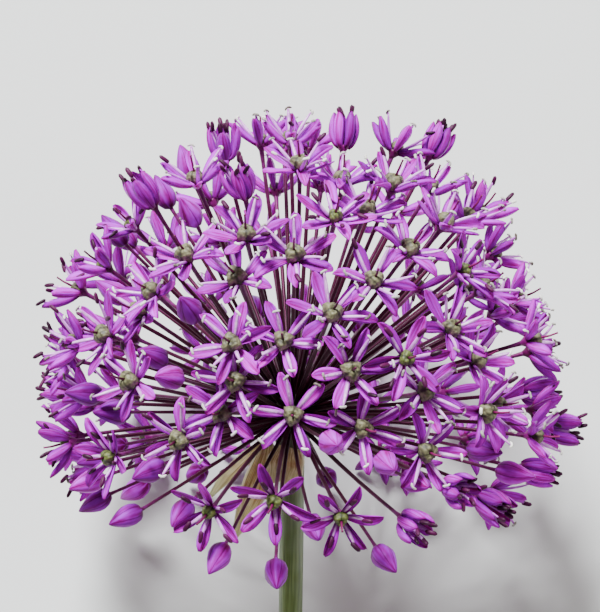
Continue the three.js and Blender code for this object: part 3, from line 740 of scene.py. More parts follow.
shed_anther = make_soft_material("Anther_shed", "#62564e", "#fffdf2", 0.5, 0.8, 0.05)
fresh_anther = make_soft_material("Anther_fresh", "#24021c", "#520640", 0.5, 0.5, 0.05)
ripe_ovary = make_ovary_material("Ovary_grey_green", "#262110", "#747250")
young_ovary = make_ovary_material("Ovary_yellow_green", "#262c0e", "#606a2e")
style_flesh = make_soft_material("Style_magenta", "#4c0432", "#841a5c", 0.6, 0.45, 0.02)
hub_skin = make_soft_material("Hub_magenta", "#4c0638", "#8a0c78", 1.0, 0.4, 0.03)
small_finishes = (shed_anther, fresh_anther, ripe_ovary, young_ovary, style_flesh, hub_skin)
print("materials:", *(material.name for material in small_finishes))

# %% [markdown]
# ## Filament
# A filament is a fleshy lilac strap with a painted white highlight along the middle of its upper
# side, and it deepens to violet at both ends. Its flesh passes some light, so it glows against the
# darker tepals.


# %% Make the filament flesh
def make_filament_material():
    material, tree = new_material("Filament_lilac")
    uv = add_node(tree, "ShaderNodeUVMap")
    split = add_node(tree, "ShaderNodeSeparateXYZ", {0: uv})
    around, along = split.outputs[0], split.outputs[1]
    colours_along = [(0.02, "#8c1496"), (0.25, "#b846c6"), (0.6, "#dc8ae6"), (1.0, "#be56c8")]
    flesh = add_node(tree, "ShaderNodeValToRGB", {0: along}, colours_along)
    # The upper side is a quarter of the way round, and a painted white highlight runs along its middle.
    off_middle = off_line(tree, around, line=0.25)
    highlight_across = add_node(tree, "ShaderNodeValToRGB", {0: off_middle}, [(0.015, 0.85), (0.095, 0.0)])
    upwards = add_node(tree, "ShaderNodeValToRGB", {0: along}, [(0.06, 0.15), (0.4, 1.0), (1.0, 0.75)])
    highlight_share = add_node(tree, "ShaderNodeMath", {0: highlight_across, 1: upwards}, operation="MULTIPLY")
    place = add_node(tree, "ShaderNodeTexCoord").outputs["Object"]
    # The grain comes in patches, about three of them to 2 mm. They break up the painted highlight and vary
    # the roughness.
    grain = add_node(tree, "ShaderNodeTexNoise", {"Scale": 1.5 / MM, "Detail": 2.0, "Vector": place})
    highlight_patches = add_node(tree, "ShaderNodeMapRange", {0: grain, 1: 0.38, 2: 0.62, 3: 0.12, 4: 1.0})
    painted_highlight = add_node(tree, "ShaderNodeMath", {0: highlight_share, 1: highlight_patches}, operation="MULTIPLY")
    # The near-white colour is the painted highlight.
    skin = add_node(tree, "ShaderNodeMix", {0: painted_highlight, 6: flesh, 7: colour("#ffe6fc")}, data_type="RGBA")
    rough = add_node(tree, "ShaderNodeMapRange", {0: grain, 3: 0.2, 4: 0.4})
    finish = {
        "Base Color": skin.outputs[2],
        "Roughness": rough,
        "Subsurface Weight": 0.15,
        "Subsurface Radius": (1.0, 0.5, 1.0),
        "Subsurface Scale": 0.0005,
    }
    return with_finish(material, finish)


filament_flesh = make_filament_material()
print("material:", filament_flesh.name)

# %% [markdown]
# ## One mesh for each organ
# Every organ is a small mesh, with 17 faces for a style and at most 146 for a bud, because the
# head repeats it dozens or hundreds of times. A blade is two grids, upper and under side, that
# share their rim, so it is a closed thin solid.

# %% A blade: the closed thin mesh of one tepal
BLADE_WIDTHS = [0.4, 0.52, 0.7, 0.87, 0.98, 1.05, 1.06, 0.98, 0.76, 0.3]
BLADE_COLUMNS = 4
BLADE_THICKNESS = 0.22
# A blade's lowest part is sunk in the hub. It keeps its own direction a quarter of the way up.
TEPAL_SUNK = 0.5
BLADE_LENGTH = TEPAL_LENGTH + TEPAL_SUNK
UNBENT_AT = 0.23
RIPPLE_RATE = 7
FOLD_DRAWS_IN = 0.25
SKEW_SWEEPS = 0.4


def make_blade(name, shape):
    """A tepal along y: narrow at the foot, broad beyond the middle and blunt at the tip."""
    mesh = bmesh.new()
    uv_layer = mesh.loops.layers.uv.new("UVMap")
    upper, under = [], []
    middle = Vector((0, 0, 0))
    last = len(BLADE_WIDTHS) - 1
    for row, share in enumerate(BLADE_WIDTHS):
        t = row / last
        angle = shape["bend"] * (t ** shape["hollow"] - UNBENT_AT ** shape["hollow"]) * DEGREE
        along = Vector((0, math.cos(angle), -math.sin(angle)))
        normal = Vector((0, math.sin(angle), math.cos(angle)))
        twist = Matrix.Rotation(shape["twist"] * t * DEGREE, 3, "Y")
        half = TEPAL_HALF_WIDTH * shape["width"] * share
        lines = ([], [])
        for column in range(BLADE_COLUMNS + 1):
            s = -1 + 2 * column / BLADE_COLUMNS
            wave = math.sin(RIPPLE_RATE * t + shape["phase"])
            gutter = shape["fold"] * half * s * s + shape["ripple"] * s * wave
            inward = 1 - FOLD_DRAWS_IN * shape["fold"] * s * s
            on_rim = column in (0, BLADE_COLUMNS)
            swept = SKEW_SWEEPS * shape["skew"] * s * t**4
            for line, drop in zip(lines, (0, 0 if on_rim else BLADE_THICKNESS * (1.5 - t))):
                offset = twist @ Vector((s * half * inward + shape["skew"] * t * t, 0, gutter - drop))
                spot = middle + Vector((offset.x, 0, 0)) + normal * offset.z + along * swept
                shared = on_rim and line is lines[1]
                line.append(lines[0][-1] if shared else (mesh.verts.new(spot * MM), ((s + 1) / 2, t)))
        upper.append(lines[0])
        under.append(lines[1])
        middle = middle + along * (BLADE_LENGTH / last)
    for rows in (upper, under):
        for lower, higher in zip(rows, rows[1:]):
            for k in range(BLADE_COLUMNS):
                add_face(mesh, [lower[k], lower[k + 1], higher[k + 1], higher[k]], uv_layer)
    for end in (0, -1):
        add_face(mesh, upper[end] + under[end][-2:0:-1], uv_layer)
    return mesh_object(name, mesh)


def add_face(mesh, corners, uv_layer):
    face = mesh.faces.new([vertex for vertex, _ in corners])
    face.smooth = True
    for loop, (_, uv) in zip(face.loops, corners):
        loop[uv_layer].uv = uv


def mesh_object(name, mesh):
    """Turns a bmesh into an object with its faces pointing outwards."""
    bmesh.ops.recalc_face_normals(mesh, faces=mesh.faces)
    data = bpy.data.meshes.new(name)
    mesh.to_mesh(data)
    mesh.free()
    return bpy.data.objects.new(name, data)


# %% A turned organ: a round mesh from a profile, with lobes and a curved middle line
def join_rings(mesh, rings, uv_layer):
    """Joins rings of corners with faces, closes both ends, and lets u run on to 1 at the seam."""
    sides = len(rings[0])
    for lower, higher in zip(rings, rings[1:]):
        for k in range(sides):
            n = (k + 1) % sides
            right = [(corners[n][0], ((k + 1) / sides, corners[n][1][1])) for corners in (lower, higher)]
            add_face(mesh, [lower[k], right[0], right[1], higher[k]], uv_layer)
    for ring in (rings[0], rings[-1]):
        add_face(mesh, ring, uv_layer)


KNOBS_ROUND = 9
OVERLAPS = 3


def make_turned(name, profile, sides, lobes=(), bow=0.0, flatten=1.0, knobs=0.0, overlap=0.0):
    """The profile is a list of (radius, height) in millimetres, from the bottom to the top."""
    mesh = bmesh.new()
    uv_layer = mesh.loops.layers.uv.new("UVMap")
    bottom, top = profile[0][1], profile[-1][1]
    rings = []
    for row, (radius, height) in enumerate(profile):
        v = (height - bottom) / (top - bottom)
        shift = bow * math.sin(math.pi * v)
        ring = []
        for k in range(sides):
            angle = 2 * math.pi * k / sides
            swell = 1 + sum(depth * math.cos(count * angle) for count, depth in lobes)
            swell += knobs * math.cos(KNOBS_ROUND * angle + row * math.pi)
            swell += overlap * ((OVERLAPS * k / sides) % 1 - 0.5) * max(0, math.sin(math.pi * v))
            angle += OVERLAPS * overlap * v
            out = radius * swell
            spot = Vector((out * math.cos(angle), out * math.sin(angle) * flatten + shift, height))
            ring.append((mesh.verts.new(spot * MM), (k / sides, v)))
        rings.append(ring)
    join_rings(mesh, rings, uv_layer)
    return mesh_object(name, mesh)


# %% The organs of a floret
def tepal_shapes(count, seed, bend, fold, twist, width=(1.02, 1.2), hollow=1.0):
    """Tepals that differ as real ones do: flatter, more rolled, more twisted, hollow near the foot."""
    chooser = random.Random(seed)
    for _ in range(count):
        yield {
            "width": chooser.uniform(*width),
            "fold": chooser.uniform(*fold),
            "ripple": chooser.uniform(0.0, 0.12),
            "phase": chooser.uniform(0, 6.3),
            "bend": chooser.uniform(*bend),
            "twist": chooser.uniform(-twist, twist),
            "skew": chooser.uniform(-0.5, 0.5),
            "hollow": hollow,
        }


def blades(name, shapes):
    return [make_blade(f"{name}_{k}", shape) for k, shape in enumerate(shapes)]


def bowed(name, profile, bows, flatten):
    return [make_turned(f"{name}_{k}", profile, 6, bow=bow, flatten=flatten) for k, bow in enumerate(bows)]


BUD_PROFILE = [
    (0.5, -0.3), (1.3, 0.1), (1.95, 1.0), (2.25, 2.2), (2.2, 3.2),
    (1.8, 4.5), (1.2, 5.8), (0.6, 6.9), (0.15, 7.5),
]
OVARY_PROFILE = [(0.9, 0.2), (1.5, 0.6), (1.78, 1.4), (1.68, 2.2), (1.25, 2.85), (0.6, 3.1), (0.25, 2.7)]
FILAMENT_PROFILE = [(0.3, 0.0), (0.43, 1.1), (0.42, 2.6), (0.38, 4.0), (0.31, 5.3), (0.2, 6.2)]
STYLE_PROFILE = [(0.26, 0.0), (0.21, 2.0), (0.18, 3.4), (0.26, 3.6)]
HUB_PROFILE = [(0.42, -1.3), (0.66, -0.8), (1.15, -0.15), (1.35, 0.3), (0.9, 0.6)]
FRESH_ANTHER_PROFILE = [(0.14, -1.15), (0.38, -0.88), (0.42, 0.0), (0.36, 0.82), (0.12, 1.15)]
SHED_ANTHER_PROFILE = [(0.14, -0.85), (0.34, -0.55), (0.28, 0.0), (0.36, 0.5), (0.14, 0.85)]

OPEN_BLADES = tepal_shapes(8, 31, (-28, 22), (0.2, 0.95), 20)
RIM_BLADES = tepal_shapes(6, 12, (-55, -18), (0.4, 1.0), 16)
CUP_BLADES = tepal_shapes(3, 8, (-84, -70), (0.4, 0.7), 8, (1.24, 1.4), 0.7)
RIPE_OVARY = make_turned("ripe_ovary", OVARY_PROFILE, 18, [(3, 0.13), (6, 0.07)], knobs=0.05)
YOUNG_OVARY = make_turned("young_ovary", OVARY_PROFILE, 18, [(3, 0.13), (6, 0.05)], knobs=0.03)
ORGANS = {
    "tepal": (blades("tepal", OPEN_BLADES), tepal_skin),
    "rim_tepal": (blades("rim_tepal", RIM_BLADES), tepal_skin),
    "cup_tepal": (blades("cup_tepal", CUP_BLADES), tepal_skin),
    "hub": ([make_turned("hub", HUB_PROFILE, 6)], hub_skin),
    "bud": ([make_turned("bud", BUD_PROFILE, 18, [(6, 0.055)], overlap=0.1)], bud_skin),
    "filament": (bowed("filament", FILAMENT_PROFILE, (0.1, 0.35, -0.2), 0.66), filament_flesh),
    "shed_anther": (bowed("shed_anther", SHED_ANTHER_PROFILE, (0.15, 0.42), 0.8), shed_anther),
    "fresh_anther": ([make_turned("fresh_anther", FRESH_ANTHER_PROFILE, 8, [(2, 0.16)])], fresh_anther),
    "ripe_ovary": ([RIPE_OVARY], ripe_ovary),
    "young_ovary": ([YOUNG_OVARY], young_ovary),
    "style": ([make_turned("style", STYLE_PROFILE, 5, bow=0.12)], style_flesh),
}
for organ_name, (variants, _) in ORGANS.items():
    print(organ_name, "variants:", len(variants), "faces:", len(variants[0].data.polygons))

# %% [markdown]
# ## A Geometry Nodes tree that dresses points with organs
# The input mesh holds one loose point for each organ, with its turn, its size and its kind as
# attributes, and one chain of edges for each pedicel. For every kind of organ the tree has one
# branch: pick the points of that kind, set the organ's variants on them, give each a random tone,
# make it real and set its material. The chains turn into tubes along a curve.


# %% Build the tree
TREE_INPUTS = {
    "Points": "NodeSocketGeometry",
    "Tone seed": "NodeSocketInt",
    "Pedicel girth": "NodeSocketFloat",
}
# What each point carries: the kind of number, and its usual value.
POINT_VALUES = {
    "turn": ("FLOAT_VECTOR", (0, 0, 0)),
    "size": ("FLOAT_VECTOR", (1, 1, 1)),
    "organ": ("INT", -1),
    "variant": ("INT", 0),
    "swell": ("FLOAT", 1.0),
    "outward": ("FLOAT", 0.0),
}


def organ_branch(tree, number, variants, name, material, points, seed, carried):
    """Sets one kind of organ on the points that ask for its number."""
    collection = bpy.data.collections.new(f"organ_{name}")
    for one in variants:
        collection.objects.link(one)
    asked = {2: carried["organ"], 3: number}
    chosen = add_node(tree, "FunctionNodeCompare", asked, data_type="INT", operation="EQUAL")
    apart = {"Collection": collection, "Separate Children": True}
    setting = {
        "Points": points,
        "Selection": chosen,
        "Instance": add_node(tree, "GeometryNodeCollectionInfo", apart),
        "Pick Instance": True,
        "Instance Index": carried["variant"],
        "Rotation": add_node(tree, "FunctionNodeEulerToRotation", {0: carried["turn"]}),
        "Scale": carried["size"],
    }
    placed = add_node(tree, "GeometryNodeInstanceOnPoints", setting)
    span = {2: 0.0, 3: 1.0, "Seed": seed}
    chance = add_node(tree, "FunctionNodeRandomValue", span, data_type="FLOAT").outputs[1]
    tone = {"Geometry": placed, "Name": "tone", "Value": chance}
    toned = add_node(tree, "GeometryNodeStoreNamedAttribute", tone, data_type="FLOAT", domain="INSTANCE")
    real = add_node(tree, "GeometryNodeRealizeInstances", {"Geometry": toned})
    return add_node(tree, "GeometryNodeSetMaterial", {"Geometry": real, "Material": material})


def pedicel_branch(tree, points, girth, swell):
    """Turns each chain of edges into a tube that swells as its points say."""
    curves = add_node(tree, "GeometryNodeMeshToCurve", {"Mesh": points})
    scale = add_node(tree, "ShaderNodeMath", {0: swell, 1: girth}, operation="MULTIPLY")
    circle = add_node(tree, "GeometryNodeCurvePrimitiveCircle", {"Resolution": 8, "Radius": 1.0})
    sweep = {"Curve": curves, "Profile Curve": circle, "Scale": scale, "Fill Caps": True}
    tube = add_node(tree, "GeometryNodeCurveToMesh", sweep)
    smooth = add_node(tree, "GeometryNodeSetShadeSmooth", {0: tube})
    return add_node(tree, "GeometryNodeSetMaterial", {"Geometry": smooth, "Material": pedicel_skin})


def make_floret_tree(organs):
    tree = bpy.data.node_groups.new("Florets_on_points", "GeometryNodeTree")
    for name, kind in TREE_INPUTS.items():
        tree.interface.new_socket(name=name, in_out="INPUT", socket_type=kind)
    tree.interface.new_socket(name="Florets", in_out="OUTPUT", socket_type="NodeSocketGeometry")
    points, seed, girth = list(add_node(tree, "NodeGroupInput").outputs)[:3]
    carried = {}
    for name in ("organ", "variant", "turn", "size", "swell"):
        kind = POINT_VALUES[name][0]
        carried[name] = add_node(tree, "GeometryNodeInputNamedAttribute", {"Name": name}, data_type=kind)
    branches = []
    for number, (name, (variants, material)) in enumerate(organs.items()):
        branches.append(organ_branch(tree, number, variants, name, material, points, seed, carried))
    branches.append(pedicel_branch(tree, points, girth, carried["swell"]))
    joined = add_node(tree, "GeometryNodeJoinGeometry")
    for branch in reversed(branches):
        tree.links.new(branch.outputs[0], joined.inputs[0])
    add_node(tree, "NodeGroupOutput", {0: joined})
    return tree


floret_tree = make_floret_tree(ORGANS)
ORGAN_NUMBERS = {name: number for number, name in enumerate(ORGANS)}
print("tree nodes:", len(floret_tree.nodes))


# %% [markdown]
# ## Where each organ goes
# A floret's own axes are its axis and two directions across it. Tepals stand around the hub in two
# whorls of three, each filament stands in front of a tepal, the anther sits on the filament's end,
# and the ovary sits in the middle with the style on top.

# %% Points for the organs of one floret
class SprayPoints:
    """Gathers points, chains and their values for the florets of one spray."""

    def __init__(self, seed):
        self.chooser = random.Random(seed)
        self.places, self.edges = [], []
        self.values = {name: [] for name in POINT_VALUES}

    def add(self, place, **given):
        self.places.append(TO_WORLD @ Vector(place))
        for name, (_, usual) in POINT_VALUES.items():
            self.values[name].append(given.get(name, usual))
        return len(self.places) - 1

    def organ(self, name, place, along, normal, size=(1, 1, 1), standing=True):
        """Sets an organ down. A standing organ's own z runs along it, and a blade's y does."""
        along = Vector(along).normalized()
        facing = Vector(normal)
        facing = (facing - along * facing.dot(along)).normalized()
        if standing:
            axes = (facing.cross(along), facing, along)
        else:
            axes = (along.cross(facing), along, facing)
        turned = TO_WORLD.to_3x3().normalized() @ Matrix(axes).transposed()
        turn = tuple(turned.to_euler())
        variant = self.chooser.randrange(len(ORGANS[name][0]))
        self.add(place, turn=turn, size=size, organ=ORGAN_NUMBERS[name], variant=variant)

    def chain(self, places, swells, outwards):
        numbers = []
        for place, swell, outward in zip(places, swells, outwards):
            numbers.append(self.add(place, swell=swell, outward=outward))
        self.edges += list(zip(numbers, numbers[1:]))


# %% The pedicel of one floret
PEDICEL_HALF = 0.45
PEDICEL_STEPS = (0.0, 0.2, 0.4, 0.6, 0.8, 0.94, 1.0)
PEDICEL_SWELLS = (1.1, 1.02, 0.96, 0.92, 0.88, 0.9, 1.2)
PEDICEL_BOW = 0.45
ROOT_SUNK = 0.6
# A pedicel ends inside the hub of an open floret, and inside the round foot of a bud.
END_BELOW_FLORET = -0.6
END_IN_BUD = 0.3
BUD_PEDICEL_GIRTH = 0.86


def add_pedicel(points, floret):
    is_bud = floret["kind"] == "bud"
    root = Vector(floret["root"]) * (RECEPTACLE_RADIUS - ROOT_SUNK) / ROOT_RADIUS
    end = Vector(floret["foot"]) + Vector(floret["axis"]) * (END_IN_BUD if is_bud else END_BELOW_FLORET)
    run = end - root
    any_way = Vector((points.chooser.uniform(-1, 1), 1, points.chooser.uniform(-1, 1)))
    bow = run.cross(any_way).normalized()
    places = [root + run * t + bow * (PEDICEL_BOW * math.sin(math.pi * t)) for t in PEDICEL_STEPS]
    girth = BUD_PEDICEL_GIRTH if is_bud else 1.0
    points.chain(places, [girth * swell for swell in PEDICEL_SWELLS], PEDICEL_STEPS)


# %% Room for the finest ends
# An anther reaches past its filament's end, so it needs room over the surface and under the top.
ROOM = 0.025
ABOVE_SURFACE = 0.8 * MM
BELOW_TOP = 1.7 * MM


def has_room(place):
    """Whether a point, in the head's own axes, is within the solids' box and a little more."""
    spot = TO_WORLD @ Vector(place)
    low, high = (Vector(corner) for corner in cad_bounds)
    more = (high - low) * ROOM
    aside = all(low[k] - more[k] < spot[k] < high[k] + more[k] for k in (0, 1))
    return aside and ABOVE_SURFACE < spot.z < high.z + more.z - BELOW_TOP


# %% Tepals, ovary and style of one open floret
OVARY_SIZES = {"ripe": 1.04, "young": 0.78, "cup": 0.6}
OVARY_PLUMP = (0.93, 1.04)
OVARY_LIFT = 0.2
OVARY_HEIGHT = 2.7
STYLE_LENGTH = 3.6
STYLE_LEAN = 0.15
SHORT_STYLE = 0.7
# Florets that turn away from the camera make the rim: they open more, with smaller ovaries.
RIM_FACING = 0.6
RIM_OPENING = 9
RIM_TEPALS_FROM = 0.3
RIM_OVARY_LESS = 0.28
TEPAL_TURN = 4
TEPAL_LEAN = 8
WHORL_STEP = 0.12
INNER_WIDTH = 0.92


def floret_axes(floret):
    """A floret's axis, two directions across it, and the direction of its first tepal."""
    side, other = (Vector(one) for one in across(floret["axis"]))
    first = side * math.cos(floret["turn"]) + other * math.sin(floret["turn"])
    return Vector(floret["axis"]), side, other, first


def leaning_by(lean, radial, axis):
    """The way that an organ runs when it leans out by an angle, and its upper side."""
    along = radial * math.sin(lean) + axis * math.cos(lean)
    normal = radial * -math.cos(lean) + axis * math.sin(lean)
    return along, normal


def add_open_floret(points, floret):
    chooser = points.chooser
    axis, side, other, first = floret_axes(floret)
    foot = Vector(floret["foot"])
    size = floret["size"]
    kind = floret["kind"]
    at_rim = 1 - min(1, max(0, float(floret["direction"] @ TO_CAMERA)) / RIM_FACING)
    spread = spread_of(floret)
    opening = RIM_OPENING * (1 if kind == "cup" else at_rim) * DEGREE
    organ = "cup_tepal" if kind == "cup" else "rim_tepal" if at_rim > RIM_TEPALS_FROM else "tepal"
    points.organ("hub", foot, axis, side, (size,) * 3)
    for k in range(TEPALS):
        inner = k % 2
        angle = floret["turn"] + k * math.pi / 3 + chooser.uniform(-TEPAL_TURN, TEPAL_TURN) * DEGREE
        radial = side * math.cos(angle) + other * math.sin(angle)
        lean = spread + opening + chooser.uniform(-TEPAL_LEAN, TEPAL_LEAN) * DEGREE
        along, normal = leaning_by(lean, radial, axis)
        lift = TEPAL_LIFT + WHORL_STEP * inner
        base = foot + radial * HUB_RADIUS + axis * lift - along * TEPAL_SUNK
        width = size * (INNER_WIDTH if inner else 1.0)
        points.organ(organ, base, along, normal, (width, size, size), standing=False)
        add_stamen(points, floret, radial, spread)
    plump = OVARY_SIZES[kind] * chooser.uniform(*OVARY_PLUMP) * (1 - RIM_OVARY_LESS * at_rim)
    ovary = "ripe_ovary" if kind == "ripe" else "young_ovary"
    points.organ(ovary, foot + axis * OVARY_LIFT, axis, first, (plump,) * 3)
    top = foot + axis * (OVARY_LIFT + OVARY_HEIGHT * plump)
    upwards = axis + side * chooser.uniform(-STYLE_LEAN, STYLE_LEAN)
    length = 1.0 if has_room(top + upwards * STYLE_LENGTH) else SHORT_STYLE
    points.organ("style", top, upwards, other, (1, 1, length))


# %% Stamens of one open floret, and a bud
STAMEN_LENGTH = 6.2
STAMENS = {
    "ripe": {"spread": 0.72, "length": (0.98, 1.2)},
    "young": {"spread": 0.84, "length": (0.62, 0.86)},
    "cup": {"spread": 0.5, "length": (0.86, 1.08)},
}
STAMEN_OUT = 0.95
STAMEN_UP = 0.45
STAMEN_TURN = 11
STAMEN_LEAN = 9
STAMEN_TRIES = 3
SHORTER = 0.75
# A shed anther lies across the tip of its filament, and a fresh one stands on it.
SHED_SIZE = (0.88, 0.88, 0.88)
SHED_TILT = 0.8
FRESH_ASIDE = 0.4
FRESH_NOD = (-0.5, 0.2)
FRESH_AHEAD = 0.35
FRESH_LIFT = 0.1
LEFT_RIM = -0.72
FRESH_ON_LEFT_RIM = 0.6
FRESH_ELSEWHERE = 0.12


def fresh_share(floret):
    """The florets on the left rim opened last, so most of their anthers are still fresh."""
    if floret["kind"] != "ripe":
        return 1.0
    return FRESH_ON_LEFT_RIM if floret["direction"][0] < LEFT_RIM else FRESH_ELSEWHERE


def add_stamen(points, floret, radial, spread):
    """A filament stands in front of each tepal, less spread than it, with its anther on the end."""
    chooser = points.chooser
    axis = Vector(floret["axis"])
    habit = STAMENS[floret["kind"]]
    radial = Matrix.Rotation(chooser.uniform(-STAMEN_TURN, STAMEN_TURN) * DEGREE, 3, axis) @ radial
    lean = spread * habit["spread"] + chooser.uniform(-STAMEN_LEAN, STAMEN_LEAN) * DEGREE
    along, normal = leaning_by(lean, radial, axis)
    base = Vector(floret["foot"]) + radial * STAMEN_OUT + axis * STAMEN_UP
    length = chooser.uniform(*habit["length"])
    for _ in range(STAMEN_TRIES):
        tip = base + along * (STAMEN_LENGTH * length)
        if has_room(tip):
            break
        length *= SHORTER
    points.organ("filament", base, along, normal, (1, 1, length))
    across_tip = along.cross(normal)
    if chooser.random() > fresh_share(floret):
        pointing = across_tip + along * chooser.uniform(-SHED_TILT, SHED_TILT)
        points.organ("shed_anther", tip, pointing, along, SHED_SIZE)
    else:
        aside = across_tip * chooser.uniform(-FRESH_ASIDE, FRESH_ASIDE)
        pointing = along + aside + normal * chooser.uniform(*FRESH_NOD)
        points.organ("fresh_anther", tip + along * FRESH_AHEAD + normal * FRESH_LIFT, pointing, normal)


def add_bud(points, floret):
    axis, _, _, first = floret_axes(floret)
    points.organ("bud", floret["foot"], axis, first, (floret["size"],) * 3)


# %% Dress every spray
FIRST_SEED = 100
PRESSED_BELOW = 1.5 * MM
SURFACE = 0.03 * MM


def dress_spray(node_name, members, seed):
    points = SprayPoints(seed)
    for floret in members:
        add_pedicel(points, floret)
        if floret["kind"] == "bud":
            add_bud(points, floret)
        else:
            add_open_floret(points, floret)
    data = bpy.data.meshes.new(f"{node_name}_points")
    data.from_pydata(points.places, points.edges, [])
    for name, (kind, _) in POINT_VALUES.items():
        attribute = data.attributes.new(name, kind, "POINT")
        field = "vector" if kind == "FLOAT_VECTOR" else "value"
        attribute.data.foreach_set(field, np.array(points.values[name]).ravel())
    host = bpy.data.objects.new(f"{node_name}_host", data)
    bpy.context.scene.collection.objects.link(host)
    modifier = host.modifiers.new("Florets", "NODES")
    modifier.node_group = floret_tree
    sockets = {item.name: item.identifier for item in floret_tree.interface.items_tree}
    modifier[sockets["Tone seed"]] = seed
    modifier[sockets["Pedicel girth"]] = PEDICEL_HALF * MM
    return flatten_to_mesh(host, node_name.replace("floret_spray", "florets"))


def press_on_surface(data):
    """The tepals that carry the head are pressed flat where they would reach below the surface."""
    places = np.empty(len(data.vertices) * 3)
    data.vertices.foreach_get("co", places)
    heights = places[2::3]
    lowest = heights.min()
    if lowest < SURFACE:
        squeeze = (PRESSED_BELOW - SURFACE) / (PRESSED_BELOW - lowest)
        low = heights < PRESSED_BELOW
        heights[low] = PRESSED_BELOW - (PRESSED_BELOW - heights[low]) * squeeze
        data.vertices.foreach_set("co", places)


def flatten_to_mesh(host, name):
    """Keeps what the tree made as a plain mesh, and drops the points and the modifier."""
    evaluated = host.evaluated_get(bpy.context.evaluated_depsgraph_get())
    data = bpy.data.meshes.new_from_object(evaluated)
    data.name = name
    press_on_surface(data)
    piece = bpy.data.objects.new(name, data)
    bpy.context.scene.collection.objects.link(piece)
    bpy.data.objects.remove(host)
    return piece


face_total = 0
for number, (node_name, members) in enumerate(sprays.items()):
    piece = dress_spray(node_name, members, FIRST_SEED + number)
    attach(piece, "root")
    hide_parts(node_name)
    face_total += len(piece.data.polygons)
print("faces in all florets:", face_total)

# %% [markdown]
# ## Scape and receptacle
# The scape is a smooth green stalk with a waxy bloom and faint lengthwise ribs. It swells into the
# receptacle, which is dark where the pedicels leave it. One profile is turned around the middle
# line, then bowed a little to one side, as the solid is.

# %% Turn the scape
SCAPE_SIDES = 36
SCAPE_STEPS = 18
SCAPE_RIBS = 9
RIB_DEPTH = 0.012
NECK = 9.0
POLE = 0.02
MM_PER_V = 100


def scape_profile():
    """The outline from the cut end up, through the swelling neck and over the receptacle."""
    cut = -STALK_LENGTH
    profile = [(POLE, cut), (STALK_HALF_AT_CUT * 0.9, cut), (STALK_HALF_AT_CUT, cut + 0.15)]
    for step in range(1, SCAPE_STEPS + 1):
        t = step / SCAPE_STEPS
        half = STALK_HALF_AT_CUT + (STALK_HALF_AT_TOP - STALK_HALF_AT_CUT) * t
        profile.append((half, cut + (STALK_LENGTH - NECK) * t))
    profile.append((STALK_HALF_AT_TOP + 0.35, -NECK + 1.6))
    profile.append((STALK_HALF_AT_TOP + 0.9, -NECK + 3.2))
    for polar in range(128, 0, -16):
        angle = polar * DEGREE
        profile.append((RECEPTACLE_RADIUS * math.sin(angle), RECEPTACLE_RADIUS * math.cos(angle)))
    profile.append((POLE, RECEPTACLE_RADIUS))
    return profile


def make_scape():
    mesh = bmesh.new()
    uv_layer = mesh.loops.layers.uv.new("UVMap")
    rings = []
    for radius, height in scape_profile():
        down = max(0.0, -height) / STALK_LENGTH
        ring = []
        for k in range(SCAPE_SIDES):
            angle = 2 * math.pi * k / SCAPE_SIDES + math.pi
            ribbed = radius * (1 - RIB_DEPTH * (1 + math.cos(SCAPE_RIBS * angle)) / 2)
            x = ribbed * math.sin(angle) - STALK_BOW * down**2
            spot = Vector((x, height, ribbed * math.cos(angle)))
            ring.append((mesh.verts.new(TO_WORLD @ spot), (k / SCAPE_SIDES, height / MM_PER_V)))
        rings.append(ring)
    join_rings(mesh, rings, uv_layer)
    return mesh_object("scape_with_receptacle", mesh)


# %% The scape's skin
def make_scape_material():
    material, tree = new_material("Scape_waxy_green")
    # Stretched along the stalk, the noise makes streaks about 0.5 mm wide.
    uv = add_node(tree, "ShaderNodeUVMap")
    stretch = add_node(tree, "ShaderNodeVectorMath", {0: uv, 1: (30.0, 8.0, 1.0)}, operation="MULTIPLY")
    streaks = add_node(tree, "ShaderNodeTexNoise", {"Scale": 1.0, "Detail": 4.0, "Vector": stretch})
    greens = [(0.3, "#3a4814"), (0.5, "#506028"), (0.7, "#6e7c4a")]
    green = add_node(tree, "ShaderNodeValToRGB", {0: streaks}, greens)
    # Over it lies a bloom in patches of about 11 mm, and the receptacle is dark.
    place = add_node(tree, "ShaderNodeTexCoord").outputs["Object"]
    bloom = add_node(tree, "ShaderNodeTexNoise", {"Scale": 0.09 / MM, "Detail": 2.0, "Vector": place})
    centre = tuple(meeting_point * MM)
    from_centre = add_node(tree, "ShaderNodeVectorMath", {0: place, 1: centre}, operation="DISTANCE")
    layers = (
        (bloom, [(0.4, 0.05), (0.7, 0.4)], "#94a090"),
        (from_centre.outputs["Value"], [(0.0, 1.0), (6.2 * MM, 1.0), (10.5 * MM, 0.0)], "#241019"),
    )
    topped = lay_over(tree, green, layers)
    # The cut end shows pale pith inside a rim 0.15 mm high.
    height = add_node(tree, "ShaderNodeSeparateXYZ", {0: uv}).outputs[1]
    ends = {0: height, 1: -STALK_LENGTH / MM_PER_V, 2: (0.12 - STALK_LENGTH) / MM_PER_V, 3: 1.0, 4: 0.0}
    at_cut = add_node(tree, "ShaderNodeMapRange", ends)
    pith = colour("#aebb7c")
    skin = add_node(tree, "ShaderNodeMix", {0: at_cut, 6: topped, 7: pith}, data_type="RGBA")
    rough = add_node(tree, "ShaderNodeMapRange", {0: bloom, 3: 0.28, 4: 0.5})
    bump = add_node(tree, "ShaderNodeBump", {"Strength": 0.4, "Distance": 0.08 * MM, "Height": streaks})
    finish = {
        "Base Color": skin.outputs[2],
        "Roughness": rough,
        "Normal": bump,
        "Subsurface Weight": 0.1,
        "Subsurface Scale": 0.002,
        "Sheen Weight": 0.3,
        "Sheen Roughness": 0.35,
        "Sheen Tint": colour("#d0dcd4"),
    }
    return with_finish(material, finish)


scape = make_scape()
bpy.context.scene.collection.objects.link(scape)
scape.data.materials.append(make_scape_material())
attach(scape, "root")
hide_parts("scape")
print("scape faces:", len(scape.data.polygons))

